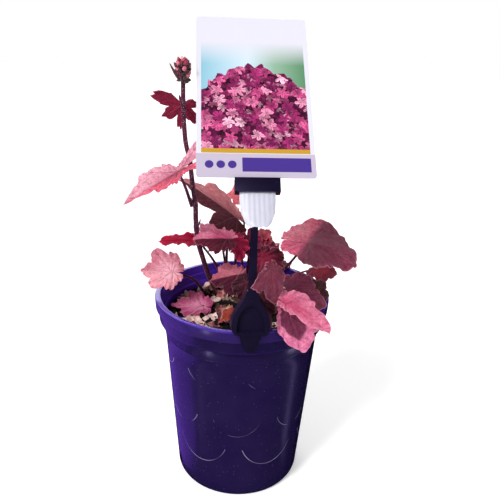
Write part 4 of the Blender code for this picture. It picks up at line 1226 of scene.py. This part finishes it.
def printed_card(settings):
    """Printed plastic card: white stock with a clear gloss coat. The print is a plain design: a sky
    that fades down into a bank of small pink leaves, a gold line and a purple band. The card map
    holds centimetres across from the middle and up from the foot."""
    material, tree = new_material("card_printed_gloss", Roughness=0.3, IOR=1.5, Specular_IOR_Level=0.5,
                                  Coat_Weight=0.3, Coat_Roughness=0.15)
    flat = add_node(tree, "UVMap", uv_map="card")
    x, y, _ = add_node(tree, "SeparateXYZ", flat).outputs
    bend = add_node(tree, "TexNoise", flat, Scale=2.2, Detail=3).outputs["Color"]
    bent = add_node(tree, "VectorMath", bend, (0.35, 0.35, 0), flat, operation="MULTIPLY_ADD")
    foliage = "#3c0c28"
    # each layer of five-lobed leaves: leaves in a centimetre, shift, and how bright it is
    for pitch, shift, brightness in ((1.7, 3.3, 0.5), (1.35, 7.1, 0.8), (1.05, 0.0, 1.15)):
        cell = add_node(tree, "Mapping", bent, (shift, shift * 0.7, 0), Scale=(pitch, pitch, pitch))
        leaves = add_node(tree, "TexVoronoi", cell, Scale=1, Randomness=0.85, voronoi_dimensions="2D")
        local = add_node(tree, "VectorMath", cell, leaves.outputs["Position"], operation="SUBTRACT")
        local_x, local_y, _ = add_node(tree, "SeparateXYZ", local).outputs
        start, shade, _ = add_node(tree, "SeparateXYZ", leaves.outputs["Color"]).outputs
        turn = add_node(tree, "Math", local_y, local_x, operation="ARCTAN2")
        turn = add_node(tree, "Math", turn, 2.5, start, operation="MULTIPLY_ADD")
        lobe = add_node(tree, "Math", add_node(tree, "Math", turn, operation="COSINE"), operation="ABSOLUTE")
        edge = add_node(tree, "Math", lobe, 0.36, 0.18, operation="MULTIPLY_ADD")
        share = add_node(tree, "Math", leaves, edge, operation="DIVIDE")
        inside = add_node(tree, "Math", share, 1.0, operation="LESS_THAN")
        pinks = add_node(tree, "ValToRGB", shade, stops={
            0: "#5c1444", 0.35: "#a02a68", 0.65: "#cc5088", 1: "#eeb0c8"})
        depth = add_node(tree, "MapRange", share, 0, 1, brightness * 0.65, brightness * 1.2)
        pink = add_node(tree, "HueSaturation", Color=pinks, Value=depth)
        vein = add_node(tree, "MapRange", lobe, 0.985, 1.0, 0, 0.6)
        veined = add_node(tree, "Mix", vein, pink, "#5a1238", data_type="RGBA")
        foliage = add_node(tree, "Mix", inside, foliage, veined, data_type="RGBA")
    across = add_node(tree, "MapRange", x, -4.0, 4.0)
    sky = add_node(tree, "ValToRGB", across, stops={
        0: "#86bcd0", 0.45: "#c8dce8", 0.7: "#8cb098", 1: "#548660"})
    pale = add_node(tree, "MapRange", y, 9.4, 11.4)
    faded = add_node(tree, "Mix", pale, sky, settings.card_colour, data_type="RGBA")
    hill = add_node(tree, "Math", x, 0.35, operation="MULTIPLY")
    hill = add_node(tree, "Math", add_node(tree, "Math", hill, operation="COSINE"), 2.6, 7.0,
                    operation="MULTIPLY_ADD")
    rough = add_node(tree, "Math", leaves, 0.9, y, operation="MULTIPLY_ADD")
    bank = add_node(tree, "Math", rough, hill, operation="LESS_THAN")
    light = add_node(tree, "TexNoise", flat, Scale=1.6, Detail=6, Roughness=0.75)
    light = add_node(tree, "MapRange", light, 0.38, 0.62, 0.4, 1.35)
    foliage = add_node(tree, "HueSaturation", Color=foliage, Value=light)
    picture = add_node(tree, "Mix", bank, faded, foliage, data_type="RGBA")
    layered = settings.card_colour
    # each panel: lowest and highest place across and up, in centimetres, and its colour
    for x_low, x_high, y_low, y_high, colour in (
            (-4.2, 4.2, 0, 1.85, "#bdb2c6"), (-3.85, 3.85, 2.25, 13.2, picture),
            (-3.85, 3.85, 1.9, 2.25, "#c09428"), (-1.0, 3.85, 0.45, 1.55, settings.band_colour)):
        inside = 1.0
        for value, edge, operation in ((x, x_low, "GREATER_THAN"), (x, x_high, "LESS_THAN"),
                                       (y, y_low, "GREATER_THAN"), (y, y_high, "LESS_THAN")):
            test = add_node(tree, "Math", value, edge, operation=operation)
            inside = add_node(tree, "Math", inside, test, operation="MULTIPLY")
        layered = add_node(tree, "Mix", inside, layered, colour, data_type="RGBA")
    for centre in (-3.3, -2.5, -1.7):
        away = add_node(tree, "VectorMath", flat, (centre, 1.0, 0), operation="DISTANCE")
        disc = add_node(tree, "Math", away, 0.3, operation="LESS_THAN")
        layered = add_node(tree, "Mix", disc, layered, settings.band_colour, data_type="RGBA")
    creases = add_node(tree, "TexNoise", flat, Scale=0.5)
    bump = add_node(tree, "Bump", Height=creases, Distance=0.0008, Strength=0.2)
    return shaded(material, Base_Color=layered, Normal=bump)


def bare_card(settings):
    """Unprinted polypropylene sheet: white, slightly see-through and satin, with a faint grain."""
    material, tree = new_material("card_bare_satin", Roughness=0.4, IOR=1.49, Subsurface_Weight=0.15,
                                  Subsurface_Radius=(1.0, 1.0, 1.0), Subsurface_Scale=0.001)
    place = add_node(tree, "TexCoord").outputs["Object"]
    cloud = add_node(tree, "TexNoise", place, Scale=60, Detail=3)
    shade = add_node(tree, "Mix", cloud, settings.card_colour, "#b4b4c6", data_type="RGBA")
    bump = add_node(tree, "Bump", Height=cloud, Distance=0.0002, Strength=0.3)
    return shaded(material, Base_Color=shade, Normal=bump)


def printed_sheet(settings):
    """The card's upper part, with round corners and the print on its front."""
    card = sheet("plant_label", 42, 68)
    points = (points_of(card) / METRE + (0, 0.5, 0)) * (CARD_WIDTH, CARD_HEIGHT, 1)
    inner = CARD_WIDTH / 2 - CARD_CORNER
    over = points - np.clip(points, (-inner, CARD_CORNER, 0), (inner, CARD_HEIGHT - CARD_CORNER, 0))
    far = np.maximum(np.hypot(over[:, 0], over[:, 1]), CARD_CORNER)
    place_points(card, points - over * (1 - CARD_CORNER / far)[:, None])
    dressed(card, printed_card(settings), bare_card(settings))
    modified(card, "SOLIDIFY", thickness=CARD_THICK * MM, offset=0, material_offset=1, material_offset_rim=1)
    card.data.uv_layers[0].name = "card"
    card.data.uv_layers[0].data.foreach_set(
        "uv", (points_of(card)[corner_points(card.data)][:, :2] / 10).ravel())
    return card


def pleated_tongue():
    """The card's tongue, which narrows downwards, bowed and pleated under the sleeve."""
    tongue = sheet("tongue", 84, 30)
    across, up, _ = (points_of(tongue) / METRE).T
    share = 0.5 - up
    narrow = np.interp(share, [0, 0.45, 0.7, 0.9, 0.97, 1.0], [1, 1, 0.93, 0.72, 0.56, 0.4])
    x = across * TONGUE_WIDTH * narrow
    drop = 0.6 * (1 - (2 * across) ** 2) * stepped(0.85, 1.0, share)
    pleat = 0.13 * np.cos(x * math.tau / 3.4) * stepped(0.05, 0.3, share)
    bowed = 2.4 * (2 * across) ** 4 * stepped(0.15, 0.5, share)
    place_points(tongue, np.stack([x, -share * TONGUE_LENGTH - drop, pleat - bowed], 1))
    return modified(tongue, "SOLIDIFY", thickness=CARD_THICK * MM, offset=0)


class HEUCHERA_OT_label_card(bpy.types.Operator):
    """Make the printed card and its pleated tongue"""
    bl_idname = "heuchera.make_label_card"
    bl_label = "Label card"

    def execute(self, context):
        card = printed_sheet(context.scene.heuchera_label)
        card = joined([card, dressed(pleated_tongue(), card.data.materials[1])])
        card.matrix_world = card_matrix()
        return handed_over(card, "label_card", 40)


def teardrop(form, width, low, high, y, y_top):
    """An outline that narrows upwards, from depth y at its foot to y_top."""
    places = np.linspace(0, 1, 22)
    halves = np.interp(places, *zip(*form))
    halves = np.convolve(np.pad(halves, 1, mode="edge"), [0.25, 0.5, 0.25], "valid") * width / 2
    rows = [(half, y + (y_top - y) * t ** 2, low + (high - low) * t) for t, half in zip(places, halves)]
    rows += [(-half, deep, height) for half, deep, height in reversed(rows)]
    return [(CLIP_X + half, deep, height) for half, deep, height in rows]


def section(y, half_depth, height, half_width):
    """A cut through the stake."""
    corners = ((1, -1), (1, 1), (-1, 1), (-1, -1))
    return [(CLIP_X + half_width * a, y + half_depth * b, height) for a, b in corners]


class HEUCHERA_OT_label_stake(bpy.types.Operator):
    """Make the clip on the pot's lip, its stake and the sleeve that holds the card"""
    bl_idname = "heuchera.make_label_stake"
    bl_label = "Label stake"

    def execute(self, context):
        settings = context.scene.heuchera_label
        rim = POT_HEIGHT + 0.3
        lip_front = -math.sqrt(LIP_RADIUS ** 2 - CLIP_X ** 2)
        jaw_y = -math.sqrt(LIP_INNER_RADIUS ** 2 - CLIP_X ** 2)
        stake = between(teardrop(SPOON, 29, rim, 209, lip_front - 5.0, lip_front - 3.5),
                        teardrop(SPOON, 32.5, rim, 208, lip_front + 4.0, lip_front + 1))
        recess = between(teardrop(ARCH, 23, rim + 1.2, 199, lip_front - 8, lip_front - 8),
                         teardrop(ARCH, 19.5, rim + 2.6, 196, lip_front - 1.9, lip_front - 1.9))
        cut_or_add(stake, recess, "DIFFERENCE")
        across_card = (card_matrix() @ Matrix.Translation(Vector((0, -SLEEVE_DROP, 0)) * MM)
                       @ Matrix.Rotation(math.radians(-90), 4, "X"))
        parts = [
            between([(CLIP_X + x * 0.9, lip_front - 3.8, z) for x, z in SHIELD],
                    [(CLIP_X + x, lip_front - 0.9, z) for x, z in SHIELD]),
            block("jaw", (12, 2.4, 16), (CLIP_X, jaw_y + 5.6, rim - 4)),
            block("saddle", (22, 12, 4), (CLIP_X, jaw_y + 0.8, rim + 2)),
            between(section(lip_front - 2, 1.6, 203, 3.0), section(STAKE_Y, 1.5, 247, 2.7)),
            between(section(STAKE_Y, 1.5, 246.9, 2.7), section(STAKE_Y, 1.4, 281, 2.4)),
            block("sleeve", SLEEVE),
        ]
        parts[-1].data.transform(across_card)
        for part in parts:
            cut_or_add(stake, part, "UNION")
        slot = block("slot", (TONGUE_WIDTH + 1.2, CARD_THICK + 1.2, 30))
        slot.data.transform(across_card)
        cut_or_add(stake, slot, "DIFFERENCE")
        modified(stake, "BEVEL", width=0.0005, segments=3, limit_method="ANGLE",
                 angle_limit=math.radians(30), use_clamp_overlap=True)
        stake.name = stake.data.name = "label_clip"
        plastic = moulded_polypropylene("clip_polypropylene_moulded", settings.clip_colour, 0.36, 0.15)[0]
        dressed(stake, plastic)
        return handed_over(stake, "label_stake", 35)


# Stage
class HEUCHERA_OT_stage(bpy.types.Operator):
    """Make the floor, the lights and the camera"""
    bl_idname = "heuchera.make_stage"
    bl_label = "Stage"

    def execute(self, context):
        scene = context.scene
        settings = scene.heuchera_stage
        scene.view_settings.view_transform = "Standard"
        floor = sheet("floor_sheet", 2, 2, 12)
        paper, tree = new_material("backdrop_paper_matt", Roughness=0.9, Specular_IOR_Level=0.1,
                                   Emission_Color="#ffffff", Emission_Strength=settings.glow)
        place = add_node(tree, "TexCoord").outputs["Object"]
        fibre = add_node(tree, "TexNoise", place, Scale=300, Detail=2)
        tint = add_node(tree, "Mix", fibre, settings.floor_colour, "#ffffff", data_type="RGBA")
        floor.visible_glossy = False
        dressed(floor, shaded(paper, Base_Color=tint))

        scene.world = bpy.data.worlds.new("studio")
        scene.world.use_nodes = True
        scene.world.cycles_visibility.glossy = False
        tree = scene.world.node_tree
        seen = add_node(tree, "LightPath").outputs["Is Camera Ray"]
        strength = add_node(tree, "MapRange", seen, 0, 1, settings.sky, 1.0)
        plug(tree.nodes["Background"].inputs["Strength"], strength)
        plug(tree.nodes["Background"].inputs["Color"], "#ffffff")
        for name, place, spread, power in (("key", (-0.6, -0.66, 0.72), 18, settings.key_power),
                                           ("fill", (0.9, -0.6, 0.3), 25, settings.fill_power),
                                           ("back", (-0.25, 0.9, 0.42), 40, settings.back_power)):
            start_clean()
            bpy.ops.object.light_add(type="SUN", location=place)
            light = bpy.context.object
            light.name = name
            light.data.angle = math.radians(spread)
            light.data.energy = power
            light.rotation_euler = (-Vector(place)).to_track_quat("-Z", "Y").to_euler()

        for place, size, colour, power in REFLECTORS:
            paint, tree = new_material("reflector_card_painted", Base_Color="#000000", Emission_Color=colour,
                                       Emission_Strength=power * settings.gloss)
            card = sheet("reflector_card", 2, 2, 1, place)
            card.scale = (*size, 1)
            card.rotation_euler = (math.radians(90), 0, math.atan2(place[0], -place[1]))
            for ray in ("camera", "diffuse", "shadow", "transmission"):
                setattr(card, "visible_" + ray, False)
            dressed(card, shaded(paint, Roughness=add_node(tree, "TexNoise", Scale=12)))

        start_clean()
        bpy.ops.object.camera_add()
        camera = scene.camera = bpy.context.object
        turn = Matrix.Rotation(-CAMERA_YAW, 4, "Z") @ Matrix.Rotation(math.pi / 2 - CAMERA_PITCH, 4, "X")
        camera.matrix_world = (Matrix.Translation(Vector(CAMERA_PLACE) * MM) @ turn
                               @ Matrix.Rotation(-CAMERA_ROLL, 4, "Z"))
        camera.data.sensor_width = 36
        camera.data.lens = CAMERA_REACH * 36 / 500
        camera.data.clip_start = 0.01
        return {"FINISHED"}


# Panel and registration
STEPS = (
    (HEUCHERA_OT_stage, "heuchera_stage", StageSettings),
    (HEUCHERA_OT_pot, "heuchera_pot", PotSettings),
    (HEUCHERA_OT_potting_mix, "heuchera_mix", MixSettings),
    (HEUCHERA_OT_leaves, "heuchera_leaf", LeafSettings),
    (HEUCHERA_OT_stem_leaves, None, None),
    (HEUCHERA_OT_dry_leaves, None, None),
    (HEUCHERA_OT_flower_stem, None, None),
    (HEUCHERA_OT_flower_head, "heuchera_stem", StemSettings),
    (HEUCHERA_OT_label_card, "heuchera_label", LabelSettings),
    (HEUCHERA_OT_label_stake, None, None),
)


class HEUCHERA_PT_builder(bpy.types.Panel):
    """Lists the pieces and their settings"""
    bl_idname = "HEUCHERA_PT_builder"
    bl_label = "Potted heuchera"
    bl_space_type = "VIEW_3D"
    bl_region_type = "UI"
    bl_category = "Heuchera"

    def draw(self, context):
        for operator, name, group in STEPS:
            box = self.layout.box()
            box.operator(operator.bl_idname)
            for setting in (group.__annotations__ if group else ()):
                box.prop(getattr(context.scene, name), setting)


def register():
    for operator, name, group in STEPS:
        if group:
            bpy.utils.register_class(group)
            setattr(bpy.types.Scene, name, PointerProperty(type=group))
        bpy.utils.register_class(operator)
    bpy.utils.register_class(HEUCHERA_PT_builder)


def unregister():
    bpy.utils.unregister_class(HEUCHERA_PT_builder)
    for operator, name, group in reversed(STEPS):
        bpy.utils.unregister_class(operator)
        if group:
            delattr(bpy.types.Scene, name)
            bpy.utils.unregister_class(group)


def main():
    register()
    for operator, _, _ in STEPS:
        family, action = operator.bl_idname.split(".")
        getattr(getattr(bpy.ops, family), action)()
    start_clean()
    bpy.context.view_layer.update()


if __name__ == "__main__":
    main()
